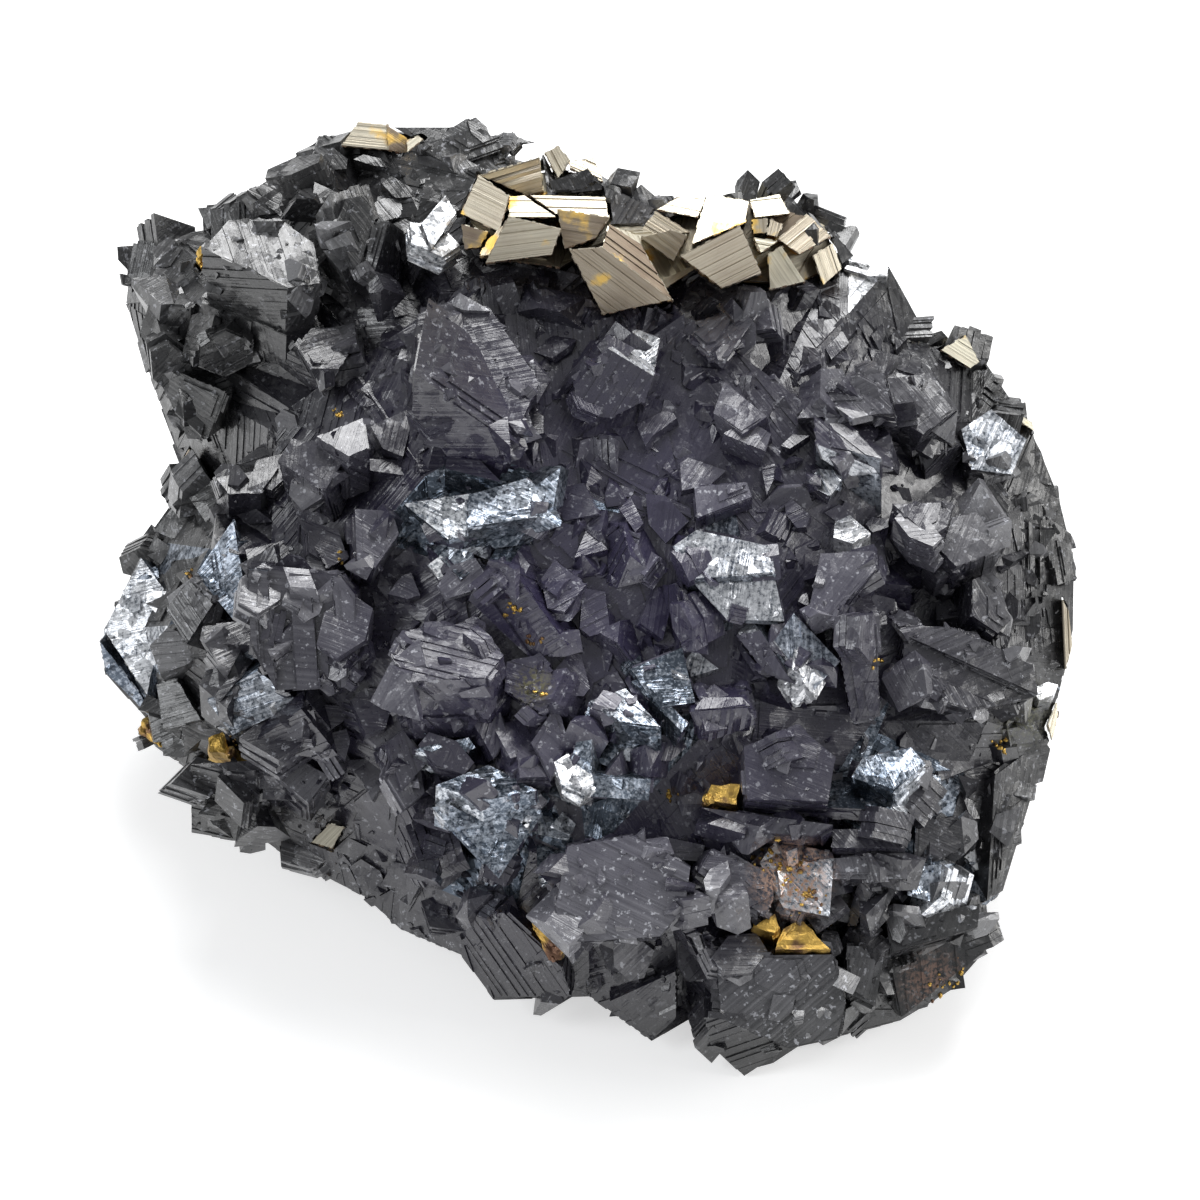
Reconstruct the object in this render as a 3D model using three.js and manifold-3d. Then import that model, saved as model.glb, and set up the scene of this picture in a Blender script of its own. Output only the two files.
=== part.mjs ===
// Sphalerite specimen with pyrite and chalcopyrite: a hand-sized group of dark zinc blende crystals.
// Millimetres, +Z up, the origin at the middle of the flat broken base.
//
// The display face is described in a plane of its own that leans back by DISPLAY_TILT:
// u runs to the right along it, v up along it, and w straight out of it.

import * as THREE from 'three';
import Module from 'manifold-3d';
import { ConvexGeometry } from 'three/addons/geometries/ConvexGeometry.js';
import { mergeVertices } from 'three/addons/utils/BufferGeometryUtils.js';

const wasm = await Module();
wasm.setup();

// Driving dimensions
const DISPLAY_TILT = THREE.MathUtils.degToRad(48); // elevation of the display face's normal
const CENTRE_HEIGHT = 30; // the display plane's centre above the base
const FRONT_RISE = 19; // how far the display face domes out at its centre
const RIM_INSET = 4.5; // the doming of the face and the slope of the back end this far inside the outline
const RIM_LEVEL = -3; // w of the rim
const RIM_LEFT_FALL = 0.4; // the rim drops back by this per mm to the left
const RIM_LEFT_START = -8; // from this u on
const RIM_FOOT_RISE = 0.1; // and comes forward by this per mm towards the foot
const RIM_ROUGHNESS = 1.2; // how far the corners of the rim and of the face lie off their level
const BACK_ROUGHNESS = 0.0375; // share by which the corners of the back lie off their place
const BASE_SHARE_X = 0.68; // the base against the outline above it
const BASE_SHARE_Y = 0.72;
const BASE_MIDDLE_Y = 3;
const BELLY = 4; // bulge of the back and sides between rim and base
const SOCKET_GAP = 0.35; // air between two minerals where one sits in the other
const CORE_UNDER = 1; // the core lies this far under the dome
const CORE_THICKNESS = 13;
const CORE_TAPER = 0.8; // its back against its front
const BED_MARGIN = 1.5; // widening of a crystal's socket at its corners, for each mm of growth
const FILL_SPACING = 10; // least distance between small crystals added between the large ones
const BACK_CRYSTALS = 14; // number of blunt crystals on the back and sides
const LEAST_BEND = 1; // a corner of a crystal's face that turns by less is left out
const MOST_ROOT = 5; // a crystal is made at most this much longer to root in the dome
const COARSE_WELD = 0.65; // corners of the dark mass closer together than this become one
const FINE_WELD = 0.1; // the same for the finished pieces
const CLOSE = 1e-9; // rounding allowed where a ray meets the end of an edge

const mass = [];
const minerals = {};
const placed = [];
let current = mass;

// Repeatable random numbers, so the crystals come out alike every time.
let seed = 20260;
function random() {
  seed = (seed + 0x6d2b79f5) | 0;
  let t = Math.imul(seed ^ (seed >>> 15), 1 | seed);
  t = (t + Math.imul(t ^ (t >>> 7), 61 | t)) ^ t;
  return ((t ^ (t >>> 14)) >>> 0) / 4294967296;
}
const between = (low, high) => low + (high - low) * random();

function toWorld(u, v, w) {
  const sin = Math.sin(DISPLAY_TILT);
  const cos = Math.cos(DISPLAY_TILT);
  return new THREE.Vector3(u, v * sin - w * cos, v * cos + w * sin + CENTRE_HEIGHT);
}

function toWorldDirection(u, v, w) {
  return toWorld(u, v, w).sub(toWorld(0, 0, 0)).normalize();
}

// The outline of the display face: a lumpy round with a deep notch on the left.
const OUTLINE = [
  [-40.8, 13], [-45, 24], [-46.9, 30], [-46.3, 35], [-42.5, 36.8], [-39, 37.4], [-36, 40.2],
  [-30, 43.8], [-25.8, 45.4], [-21, 47.5], [-11.5, 47.4], [-4.5, 45.6], [1, 42.5], [6.7, 40],
  [13, 41.9], [20, 41.5], [26, 34.5], [30, 33.3], [33.5, 27], [38.5, 25.5], [44.2, 17], [47, 10],
  [48.5, 4], [48.4, -3], [47, -9], [46, -14], [43.4, -20], [41, -29.3], [39.6, -30.5], [40, -34.5],
  [36, -39], [31, -42], [20.8, -44.6], [16, -47.8], [10.4, -41.6], [6.2, -44], [0, -39.6],
  [-9.6, -39.9], [-12.9, -35.5], [-19, -33], [-22.6, -29.7], [-30.8, -25.6], [-37.3, -21],
  [-40.2, -17.2], [-45.7, -13.5], [-44.8, -11.8], [-48.9, -7.3], [-49.2, -3], [-44.5, 6], [-42.5, 9.5],
];

function outlineReach(angle) {
  const direction = new THREE.Vector2(Math.cos(angle), Math.sin(angle));
  let reach = 0;
  OUTLINE.forEach(([au, av], index) => {
    const [bu, bv] = OUTLINE[(index + 1) % OUTLINE.length];
    const edge = new THREE.Vector2(bu - au, bv - av);
    const cross = direction.cross(edge);
    const distance = new THREE.Vector2(au, av).cross(edge) / cross;
    const along = new THREE.Vector2(au, av).cross(direction) / cross;
    if (distance > 0 && along > -CLOSE && along < 1 + CLOSE) reach = Math.max(reach, distance);
  });
  return reach;
}

function rimLevel(u, v) {
  return RIM_LEVEL + RIM_LEFT_FALL * Math.min(u - RIM_LEFT_START, 0) - RIM_FOOT_RISE * Math.min(v, 0);
}

// Broad rises and hollows of the display face: u, v, radius, height.
const RELIEF = [
  [-33, 36, 9, 3], [-36, 18, 7, -7], [-30, 21, 4, -4], [0, 38, 12, 2], [17, 36, 9, 3], [22, 28, 6, -4],
  [-20, 25, 6, -3], [-5, 0, 14, -3], [3, -29, 9, 2], [18, -39, 8, 2], [15, -24, 4, -3], [29, 0, 5, -3],
  [-22, -3, 3, -3], [30, 18, 8, 2], [2, 12, 4, -3], [21, 1, 3, -2],
];

function domeLevel(u, v) {
  const reach = outlineReach(Math.atan2(v, u)) - RIM_INSET;
  const share = Math.min(Math.hypot(u, v) / reach, 1);
  const rim = rimLevel(u, v);
  const relief = RELIEF.reduce(
    (sum, [ru, rv, radius, height]) =>
      sum + height * Math.exp(-((u - ru) ** 2 + (v - rv) ** 2) / (radius * radius)),
    0,
  );
  return rim + (FRONT_RISE - rim) * (1 - share ** 2.4) ** 0.55 + relief * (1 - share ** 6);
}

// A point of the back and sides: down 0 is the rim, 1 the edge of the base.
function backPoint(angle, down) {
  const reach = outlineReach(angle) - RIM_INSET;
  const [u, v] = [reach * Math.cos(angle), reach * Math.sin(angle)];
  const rim = toWorld(u, v, rimLevel(u, v));
  const base = new THREE.Vector3(
    rim.x * BASE_SHARE_X,
    BASE_MIDDLE_Y + (rim.y - BASE_MIDDLE_Y) * BASE_SHARE_Y,
    0,
  );
  const outward = new THREE.Vector3(rim.x, rim.y - BASE_MIDDLE_Y, 0).normalize();
  const bulge = BELLY * Math.sin(Math.PI * down) * Math.min(rim.z / 30, 1);
  return rim.lerp(base, down).addScaledVector(outward, bulge);
}

function solidOf(geometry) {
  geometry.deleteAttribute('normal');
  geometry.deleteAttribute('uv');
  const merged = mergeVertices(geometry);
  const triangles = [];
  for (let i = 0; i < merged.index.count; i += 3) {
    const [a, b, c] = merged.index.array.slice(i, i + 3);
    if (a !== b && b !== c && c !== a) triangles.push(a, b, c);
  }
  return new wasm.Manifold(
    new wasm.Mesh({
      numProp: 3,
      vertProperties: new Float32Array(merged.attributes.position.array),
      triVerts: new Uint32Array(triangles),
    }),
  );
}

// The rough body is a ball drawn out: a column of it for each corner of the outline, its upper rings
// in front of the rim, its lower ones behind it down to the flat base.
function roughBody() {
  const frontRings = [[0, 12], [0.6, 4.5], [0.86, 0.8]]; // share of the reach, depth under the dome
  const backSteps = [0.3, 0.65, 1];
  const rings = frontRings.length + backSteps.length + 1;
  const columns = OUTLINE.length;
  const rough = () => between(-RIM_ROUGHNESS, RIM_ROUGHNESS);
  const ball = new THREE.SphereGeometry(1, columns, rings);
  const position = ball.attributes.position;
  for (let column = 0; column < columns; column += 1) {
    // The outline runs clockwise and the ball's columns the other way.
    const [cornerU, cornerV] = OUTLINE[(columns - column) % columns];
    const angle = Math.atan2(cornerV, cornerU);
    const shape = frontRings.map(([share, under]) => {
      const [u, v] = [cornerU * share, cornerV * share];
      return toWorld(u, v, domeLevel(u, v) - under + (share > 0 ? rough() : 0));
    });
    shape.push(toWorld(cornerU, cornerV, rimLevel(cornerU, cornerV) + rough()));
    backSteps.forEach((down) => {
      const point = backPoint(angle, down);
      const swell = 1 + (down < 1 ? between(-BACK_ROUGHNESS, BACK_ROUGHNESS) : 0);
      shape.push(point.multiply(new THREE.Vector3(swell, swell, 1)));
    });
    shape.push(new THREE.Vector3(0, BASE_MIDDLE_Y, 0));
    shape.forEach((point, ring) => {
      const index = ring * (columns + 1) + column;
      position.setXYZ(index, point.x, point.y, point.z);
      if (column === 0) position.setXYZ(index + columns, point.x, point.y, point.z);
    });
  }
  return solidOf(ball);
}

// A coarse convex core under the display face, which the crystals root in.
function core() {
  const points = [];
  const rings = [[0, 1], [0.38, 6], [0.74, 9]]; // share of the reach, number of points
  rings.forEach(([share, count]) => {
    for (let step = 0; step < count; step += 1) {
      const angle = (2 * Math.PI * (step + share)) / count;
      const reach = share * (outlineReach(angle) - RIM_INSET);
      const [u, v] = [reach * Math.cos(angle), reach * Math.sin(angle)];
      const top = domeLevel(u, v) - CORE_UNDER;
      points.push(toWorld(u, v, top), toWorld(u * CORE_TAPER, v * CORE_TAPER, top - CORE_THICKNESS));
    }
  });
  return hull(points);
}

// The corners of a ring, without those where it hardly bends.
function cornersOf(ring) {
  const corners = Array.from(
    { length: ring.length / 2 },
    (_, i) => new THREE.Vector2(ring[2 * i], ring[2 * i + 1]),
  );
  const bend = (corner, index) => {
    const before = corners.at(index - 1);
    const edge = corners[(index + 1) % corners.length].clone().sub(before);
    return Math.abs(corner.clone().sub(before).cross(edge)) / edge.length();
  };
  let bends = corners.map(bend);
  while (corners.length > 4 && Math.min(...bends) < LEAST_BEND) {
    corners.splice(bends.indexOf(Math.min(...bends)), 1);
    bends = corners.map(bend);
  }
  return corners;
}

const middleOf = (corners) =>
  corners.reduce((sum, corner) => sum.add(corner), new THREE.Vector2()).divideScalar(corners.length);

// The plane of a crystal's outer face: it leans by leanU to the right and leanV upwards, and lies
// clear of the dome at every corner of the face.
function facePlane(leanU, leanV, proud, corners) {
  const middle = middleOf(corners);
  const fall = (c) => leanU * (c.x - middle.x) + leanV * (c.y - middle.y);
  const heights = corners.map((c) => domeLevel(c.x, c.y) + fall(c));
  const level = Math.max(...heights) + proud;
  return {
    normal: toWorldDirection(leanU, leanV, 1),
    at: (c) => toWorld(c.x, c.y, level - fall(c)),
    rooted: (level - Math.min(...heights) + 1) / Math.hypot(leanU, leanV, 1),
    straight: Math.max(...corners.map((c) => level - fall(c) - domeLevel(c.x, c.y))) + 1,
  };
}

// The corner points of a prism from top to depth under a face plane, larger all round by grow.
function prism(plane, corners, { top = 0, depth, flare = 0.04, shrink = 0 }, grow) {
  const centre = plane.at(middleOf(corners));
  return corners.flatMap((corner) => {
    const out = plane.at(corner).sub(centre);
    const margin = out.clone().normalize().multiplyScalar(BED_MARGIN * grow);
    return [[1 - shrink, grow - top], [1 - shrink + flare, -depth - grow]].map(([share, rise]) =>
      centre.clone().addScaledVector(out, share).add(margin).addScaledVector(plane.normal, rise),
    );
  });
}

function crystal(leanU, leanV, proud, depth, ...ring) {
  const corners = cornersOf(ring);
  const plane = facePlane(leanU, leanV, proud, corners);
  const reach = Math.min(Math.max(depth, plane.rooted), depth + MOST_ROOT);
  const shape = (grow) => prism(plane, corners, { depth: reach }, grow);
  keep(corners, [shape(0)], shape(SOCKET_GAP));
}

// A crystal whose sides run straight back from the display face, so that the outline of its face
// is its outline: for cubes that share their edges.
function cube(leanU, leanV, proud, depth, ...ring) {
  const corners = cornersOf(ring);
  const plane = facePlane(leanU, leanV, proud, corners);
  plane.normal = toWorldDirection(0, 0, 1);
  const reach = Math.min(Math.max(depth, plane.straight), depth + MOST_ROOT);
  const shape = (grow) => prism(plane, corners, { depth: reach, flare: 0 }, grow);
  keep(corners, [shape(0)], shape(SOCKET_GAP));
}

// The same crystal with ledges down its sides: a stack of plates, every second one drawn in.
function layered(plates, leanU, leanV, proud, depth, ...ring) {
  const corners = cornersOf(ring);
  const plane = facePlane(leanU, leanV, proud, corners);
  const stack = Array.from({ length: plates }, (_, plate) => {
    const top = (plate * depth) / plates;
    const shrink = plate % 2 === 0 ? 0 : 0.08;
    return prism(plane, corners, { top, depth: top + depth / plates + 0.2, flare: 0, shrink }, 0);
  });
  keep(corners, stack, prism(plane, corners, { depth }, SOCKET_GAP));
}

// Parallel plates side by side, every second one lower: the grooved face of a twinned crystal.
function striated(strips, degrees, step, leanU, leanV, proud, depth, ...ring) {
  const corners = cornersOf(ring);
  const plane = facePlane(leanU, leanV, proud, corners);
  const turn = THREE.MathUtils.degToRad(degrees);
  const across = new THREE.Vector2(Math.cos(turn), Math.sin(turn));
  const places = corners.map((corner) => corner.dot(across));
  const low = Math.min(...places);
  const width = (Math.max(...places) - low) / strips;
  const plates = [prism(plane, corners, { top: step, depth }, 0)];
  for (let strip = 0; strip < strips; strip += 2) {
    const upper = keepSide(corners, across, low + strip * width);
    const kept = keepSide(upper, across.clone().negate(), -low - (strip + 1) * width);
    if (kept.length > 2) plates.push(prism(plane, kept, { depth: step + 1, flare: 0 }, 0));
  }
  keep(corners, plates, prism(plane, corners, { depth }, SOCKET_GAP));
}

// Massive mineral that joins crystals of a group from below: a slab between two depths under the dome.
function bed(under, thickness, ...ring) {
  const corners = cornersOf(ring);
  const slab = (grow) =>
    corners.flatMap((c) => {
      const wide = c.clone().add(c.clone().sub(middleOf(corners)).setLength(BED_MARGIN * grow));
      const top = domeLevel(c.x, c.y) - under + grow;
      const bottom = top - thickness - 2 * grow;
      return [c, wide].flatMap(({ x, y }) => [toWorld(x, y, top), toWorld(x, y, bottom)]);
    });
  keep(corners, [slab(0)], slab(SOCKET_GAP));
}

// The part of a convex ring that lies beyond a line square to the direction across.
function keepSide(corners, across, place) {
  return corners.flatMap((corner, index) => {
    const next = corners[(index + 1) % corners.length];
    const here = corner.dot(across) - place;
    const there = next.dot(across) - place;
    const kept = here >= 0 ? [corner] : [];
    return here * there < 0 ? [...kept, corner.clone().lerp(next, here / (here - there))] : kept;
  });
}

// Files a crystal under the mineral being made, with the room that it needs in the dark mass.
function keep(corners, parts, room) {
  const middle = middleOf(corners);
  placed.push({ middle, radius: Math.max(...corners.map((corner) => corner.distanceTo(middle))) });
  current.push({ parts, room });
}

// A grown crystal of zinc blende: a tetrahedron with its corners cut off, stretched and turned at random.
function blende(centre, size, normal) {
  const corners = [[1, 1, 1], [1, -1, -1], [-1, 1, -1], [-1, -1, 1]].map((c) => new THREE.Vector3(...c));
  const cut = between(0.18, 0.36);
  const points = [];
  const turn = new THREE.Quaternion().setFromEuler(
    new THREE.Euler(between(0, 6.28), between(0, 6.28), between(0, 6.28)),
  );
  const stretch = new THREE.Vector3(between(0.7, 1.2), between(0.7, 1.2), between(0.7, 1.2));
  corners.forEach((a, i) => {
    corners.forEach((b, j) => {
      if (i !== j) points.push(a.clone().lerp(b, cut).multiply(stretch).applyQuaternion(turn));
    });
  });
  const farthest = Math.max(...points.map((p) => p.dot(normal)));
  const scale = size / Math.max(...points.map((p) => p.length()));
  return points.map((p) => p.multiplyScalar(scale).add(centre).addScaledVector(normal, -farthest * scale));
}

// Upper left shoulder: a horn, a block with a layered front, and the crest behind it
crystal(-0.4, 0.3, 1.5, 9, -46.6, 34.3, -43.8, 36.7, -42.3, 36.8, -41.5, 33, -44.5, 31.5, -46.9, 32);
layered(4, 0.05, 0.9, 3, 14, -38.5, 36.2, -36, 37.8, -31, 38, -27.5, 35.5, -26.8, 31.5, -30, 31, -38.5, 35);
crystal(-0.5, -0.5, 0.8, 9, -44.3, 29.5, -40, 29.2, -40.2, 24, -42.5, 22, -45.2, 26.8);
crystal(-0.3, 0.6, 1.5, 8, -38.6, 37.4, -36.2, 40.1, -35.6, 40, -36, 38.3);
crystal(-0.1, 0.5, 2, 9, -34.5, 41.2, -30, 43.8, -26.5, 44, -22.5, 42, -24, 40.8, -31, 38.5);
crystal(-0.2, -0.6, 1.2, 8, -30.9, 37.9, -29.3, 40, -27.5, 40, -25, 37.5, -28.5, 37);
crystal(0.3, 0.1, 2, 9, -24.3, 39.8, -22.2, 40.3, -21.3, 38, -22.2, 33.5, -23.2, 32.4, -25.2, 37);
crystal(-0.4, 0.3, 1.4, 8, -21.5, 37.6, -20.1, 37.4, -20.1, 35.5, -21.8, 31.1, -22.6, 31.9);
crystal(0, 0.3, 2.5, 10, -16.9, 45.2, -13, 47, -11.5, 47.4, -9.8, 47, -7.6, 45.7, -8.8, 44.3, -14, 43.4);
crystal(0.3, 0.5, 2.4, 8, -16.7, 37.4, -14.4, 40.2, -13.3, 38.5, -15.7, 34.8);
crystal(0.2, 0.1, 1, 10, 1.4, 41.3, 3.4, 41.4, 5.6, 40.2, 6.7, 39, 4.8, 35.5, 2, 37.4);
crystal(0, 0.2, 1, 9, -4, 41.8, -0.2, 43.1, 1.2, 41.2, 0, 40.3, -4.3, 40.6);
crystal(0.3, 0.3, 0.5, 10, 12.2, 40.6, 14.8, 42, 20.3, 41.4, 24.1, 37.8, 26.4, 34.5, 25, 33.5);

// Below the crest: the large violet crystal with its steep dark front, and its neighbours
crystal(0.1, 0.35, 3, 12, -17, 28, -14, 29.5, -10, 29, -8.5, 27.5, -5, 21.5, -7.5, 16, -12, 18, -17, 22.3);
crystal(-0.2, -1, 1.2, 9, -17.2, 22.3, -12, 18.3, -7, 15.3, -9, 12, -14, 14, -17.5, 18.5);
crystal(-0.5, -0.4, 1, 9, -44, 24, -40.5, 23, -36.5, 20.8, -37.2, 18, -38.3, 16.2, -40.4, 16.3, -42, 20);
crystal(0, 0.6, 1.5, 8, -37.2, 12.1, -36, 13.2, -31, 13.2, -30.9, 12, -32.8, 10.6, -36, 10.6);
crystal(-0.1, 0.4, 2, 9, -30.8, 13.7, -29.4, 16, -26.5, 16.1, -24, 14.4, -26.2, 10.8, -30.3, 12.5);
crystal(0, 0.7, 1.5, 7, -27, 16.1, -22.5, 18, -21.7, 17, -22, 15, -23.8, 14.2);

// Left side: pale cleavage faces on the rim and the large grooved block
crystal(-0.3, 0.4, 1.2, 7, -42, 9.5, -40, 11.7, -37.4, 12, -36.8, 10.2, -39, 9.3);
crystal(
  -0.35, 0.15, 1.5, 11, -49, -3, -47.2, 0.3, -45.2, 4.2, -42.4, 0.4, -42.5, -2.5, -44.6,
  -9.5, -47.7, -5,
);
crystal(-0.4, -0.6, 1, 7, -49.4, -4.2, -47.8, -5, -44, -11.5, -44.8, -12, -48.9, -7.3);
crystal(-0.3, 0.2, 1.5, 9, -39.2, 2.6, -35.5, 8, -34.6, 4.5, -34, -1, -35.5, -1.9, -37.2, 0.1);
crystal(-0.3, 0.1, 2.5, 8, -42.2, -1, -41.5, 1.5, -40, 1.9, -37.6, -0.4, -38.8, -2.3, -40.2, -4.4);
striated(
  5, 4, 0.8, -0.05, -0.1, 4, 12, -33.8, 3, -24.5, 2.2, -23.2, 0.5, -22.4, -4, -22.8, -8.5,
  -31, -9, -33.5, -4,
);
crystal(0, 0.4, 1, 6, -29, 8, -25, 7, -24, 4.2, -26, 3.2, -28, 5);
crystal(0.1, 0.3, 2, 7, -23.2, 9, -19.5, 8.8, -18.9, 6.5, -19.7, 4.9, -21.2, 3.2, -23, 4);
crystal(-0.1, 0.6, 1, 6, -38.5, -2.6, -34, -2.2, -33.2, -4.6, -38.2, -4.2);
crystal(
  -0.1, -0.3, 1.5, 8, -35.5, -8.2, -33, -7, -31.2, -7.7, -28.7, -10.2, -31, -11.8, -35.5,
  -13.4, -38, -10,
);
crystal(-0.1, -0.9, 1, 8, -33, -13.8, -31, -12.2, -28.5, -10.9, -26, -13, -24.5, -16, -30, -15.3);
crystal(-0.4, 0.1, 1.2, 8, -43.5, -8.5, -41.5, -8, -39.5, -9.9, -39, -12, -40, -13.2, -42.8, -12.9);
crystal(0, 0.7, 1.5, 7, -39.8, -16.4, -34, -16.2, -31, -16, -33.5, -17.1, -36, -17);
crystal(-0.2, -0.6, 0.8, 7, -40.2, -17.4, -39.8, -16.6, -37, -19.5, -34, -20, -34.2, -21.2, -37.3, -21);
crystal(0, 0.2, 1.5, 7, -32, -16.9, -29.5, -15.6, -26, -17.5, -26.2, -18.8, -28, -20.2, -30.3, -19.5);
crystal(0.2, 0.1, 1.5, 7, -20, -14.2, -18.4, -13, -16, -16.2, -18.6, -18.8, -20, -16.5);

// Centre: the bright split face, the violet blocks and the six-sided pit ringed by plates
crystal(-0.2, 0.3, 2.5, 8, -18.4, 9.5, -11.8, 10.5, -12, 6.2, -14, 6, -16.2, 7.6);
crystal(0.1, 0.5, 2.5, 8, -11.9, 10.4, -6.3, 12, -3.9, 10.4, -5.2, 8.2, -12, 7.2);
crystal(0.1, -0.2, 2, 8, -12, 7, -5.5, 8.2, -7.2, 5.4, -9.4, 5.1);
crystal(0, 0.5, 2, 7, -13.9, 15.5, -11.5, 14.5, -8.7, 11.6, -12, 12.1, -14.3, 13);
crystal(0, 0.5, 1.2, 6, -16, 5.4, -11.6, 5.4, -11.4, 3, -12.7, 2, -14.8, 2.9);
striated(3, 35, 0.5, -0.3, -0.4, 2, 8, -10, 3.9, -8, 3.5, -4.4, -1.5, -2.2, -4.5, -5.5, -6, -12, 0);
crystal(0, 0.3, 2, 7, -4.8, 2.1, -3.5, 4, -0.4, 1.5, -1, 0.5, -2.5, -1.2, -4.2, -0.8);
crystal(0, -0.3, 2, 9, -1.5, 21, 1.8, 24.8, 6.3, 22.1, 5.5, 19.8, 2, 18, -1.5, 18.3);
crystal(0.2, 0.5, 1.5, 8, 2.2, 25.3, 4.6, 26.8, 6.9, 25.9, 7.1, 23.5, 6.2, 22, 4, 23.8);
crystal(-0.1, 0.5, 2, 7, 12, 20, 13.3, 21.6, 14.5, 21.5, 17.5, 18.1, 15, 16.5, 12.2, 18.5);
crystal(0, 0.3, 2, 7, 10.3, 11.2, 15.5, 11.6, 16, 10.2, 13.5, 8.3, 10.6, 8.1);
crystal(0, 0.35, 2.5, 8, 8.2, 5.3, 10.5, 6.9, 16, 5.9, 17.8, 5.3, 18.3, 2.6, 9.6, 2.1);
crystal(0.1, 0, 2.5, 8, 9.9, 2, 18.2, 2.4, 19.2, -2.1, 13.5, -1.9, 12.6, -1);
crystal(0.25, 0.1, 3, 8, 18.2, -4, 20.1, -1.3, 21.6, -2.3, 24.7, -6.1, 24, -7.8, 22, -9, 20.6, -8);
crystal(0.4, 0.1, 1, 7, 8.4, 1.6, 9.5, 1.6, 12.9, -1.8, 12, -3.9, 10, -4.4, 8.2, -1);
crystal(0.1, 0.2, 1.5, 7, 4, -6.8, 9.1, -4.7, 10.4, -10.1, 7, -10.6);
crystal(0.2, 0.4, 2, 6, 4.2, -8, 5.2, -7.6, 9.7, -12.2, 9.1, -13);
crystal(0, 0.2, -0.5, 7, -0.1, -14.2, 2.7, -12.4, 6, -13.2, 5.4, -15.5, 3.5, -17.2, 0, -15.7);
crystal(-0.3, 0.3, 2, 8, -2.8, -18.5, -2, -15.5, 0, -10, 0.2, -13, 0, -17.5);
crystal(0, 0.7, 2, 7, 0, -10, 3.5, -8.8, 7, -12.5, 3, -12);
crystal(0, -0.3, 2, 7, -0.5, -17.3, 3, -17.6, 6, -17.7, 5.8, -19.8, -2.5, -19.2);
crystal(0, -0.5, 2, 8, 10, -11, 15.5, -10.6, 16.3, -12.3, 14.5, -13.3, 11.5, -14, 10.3, -13.3);
crystal(-0.2, -0.2, 1.5, 8, 14.5, -3.5, 16.8, -3, 19.8, -6, 20.3, -8.2, 17.5, -7.3);
layered(3, -0.1, 0.8, 2.8, 9, -18.2, -3.2, -11.3, -2.2, -8.5, -5.5, -10.3, -7.7, -18, -8, -19.5, -5.5);
crystal(0, 0.4, 1.8, 5, -17.4, -14.8, -15.7, -14, -12, -13.6, -11.3, -14.6, -14, -15.8);
crystal(0.2, 0.1, 1.5, 6, -11.5, -12.1, -10, -10.6, -8.8, -10.8, -8.2, -13.5, -9.5, -15.7);
crystal(0.1, 0.2, 1.5, 6, -8.6, -13.8, -6.4, -14.1, -3.8, -18.3, -7.8, -17.1);
crystal(0.1, 0.1, 1.8, 7, -5.8, -14.1, -3.3, -10.3, -2.1, -12.5, -1.8, -14.8, -3.9, -17.9);
crystal(
  -0.1, 0.2, 2.2, 7, -8.2, -6.1, -5.6, -5.5, -3, -8.3, -3, -9.6, -4.6, -11.2, -6.5, -10.8,
  -8.4, -8.8,
);
crystal(0, 0.9, 2.5, 6, -15.2, -18.3, -10, -16.3, -5.3, -18.8, -10.5, -19.8);
crystal(
  0, 0, 2.2, 9, -15.6, -20.5, -10.5, -19.7, -5.2, -18.7, -4.8, -20.9, -7, -24.5, -9, -27.5,
  -15.8, -21.3,
);

// Right side: stepped plates, the tall dark prism and the smooth flank
crystal(-0.1, 0.3, 1.5, 8, 20.5, 18, 24, 22, 29, 22.5, 30, 18.5, 26, 17.8);
crystal(0.2, 0.4, 1.5, 8, 29.5, 22, 34, 22.5, 36.5, 19, 33, 16.5, 30.5, 18);
crystal(0.3, 0.3, 1.5, 8, 37, 17, 40, 19, 43.5, 16, 42, 12.5, 38, 13);
crystal(0, 0.8, 2, 9, 22.1, 16.5, 24, 17.9, 25.5, 17.6, 28.8, 13.9, 22.3, 15.7);
crystal(0.05, -0.8, 1.5, 7, 22.4, 15.4, 28.8, 13.9, 30, 12.8, 26, 12.3, 23, 13.9);
striated(5, 30, 0.5, 0.1, 0.2, 1.8, 6, 21.3, 11.6, 23, 13.4, 25.2, 12.4, 23.9, 10.3);
crystal(0, 0.35, 2.5, 8, 22.8, 4.6, 28.2, 4.8, 28.2, 3, 25.8, 1.6, 24, -1.4, 21.4, -1.9, 22, 1.5);
crystal(0.2, 0.4, 2.5, 9, 35, 6.6, 36, 8.2, 38.4, 8.6, 41.2, 5.2, 36.3, 3.3, 34.9, 4.8);
crystal(0.1, 0.5, 2, 8, 30, 9.4, 31, 10, 36, 9.7, 35.3, 7.4, 33.5, 6.3, 32.5, 7.7);
crystal(0.3, 0.3, 2, 8, 38, 2, 40.2, 2.9, 41.6, 1.2, 41.8, -2, 40.5, -3.3, 38, -1.6);
striated(5, 0, 0.6, 0.5, 0, 1.8, 9, 42.6, 8, 45, 7.6, 45.6, 2, 43.6, 0.5, 42.6, 4);
crystal(0.6, 0.4, 1, 8, 44.3, 16.5, 45.2, 14.8, 46.2, 11.5, 44.5, 12);
crystal(0.7, 0.1, 1, 8, 45.5, 8.5, 48.2, 6.6, 48.3, 2, 46.8, 1.5, 46, 4.5);
striated(3, 66, 0.9, 0.25, 0.1, 2, 8, 31.5, -2.6, 36, -2.8, 44, -6.5, 44.5, -9.5, 38, -11, 31, -9);
crystal(0.1, -0.4, 2, 9, 24.2, -2.6, 26.2, -3, 28.2, -2.5, 28.7, -11.5, 26, -12, 24.6, -6);
crystal(0.8, 0, 1, 9, 40.4, -17.5, 46, -13.6, 43.3, -19.5, 42.4, -24, 41.2, -29, 39.6, -30, 40, -24);
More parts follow.
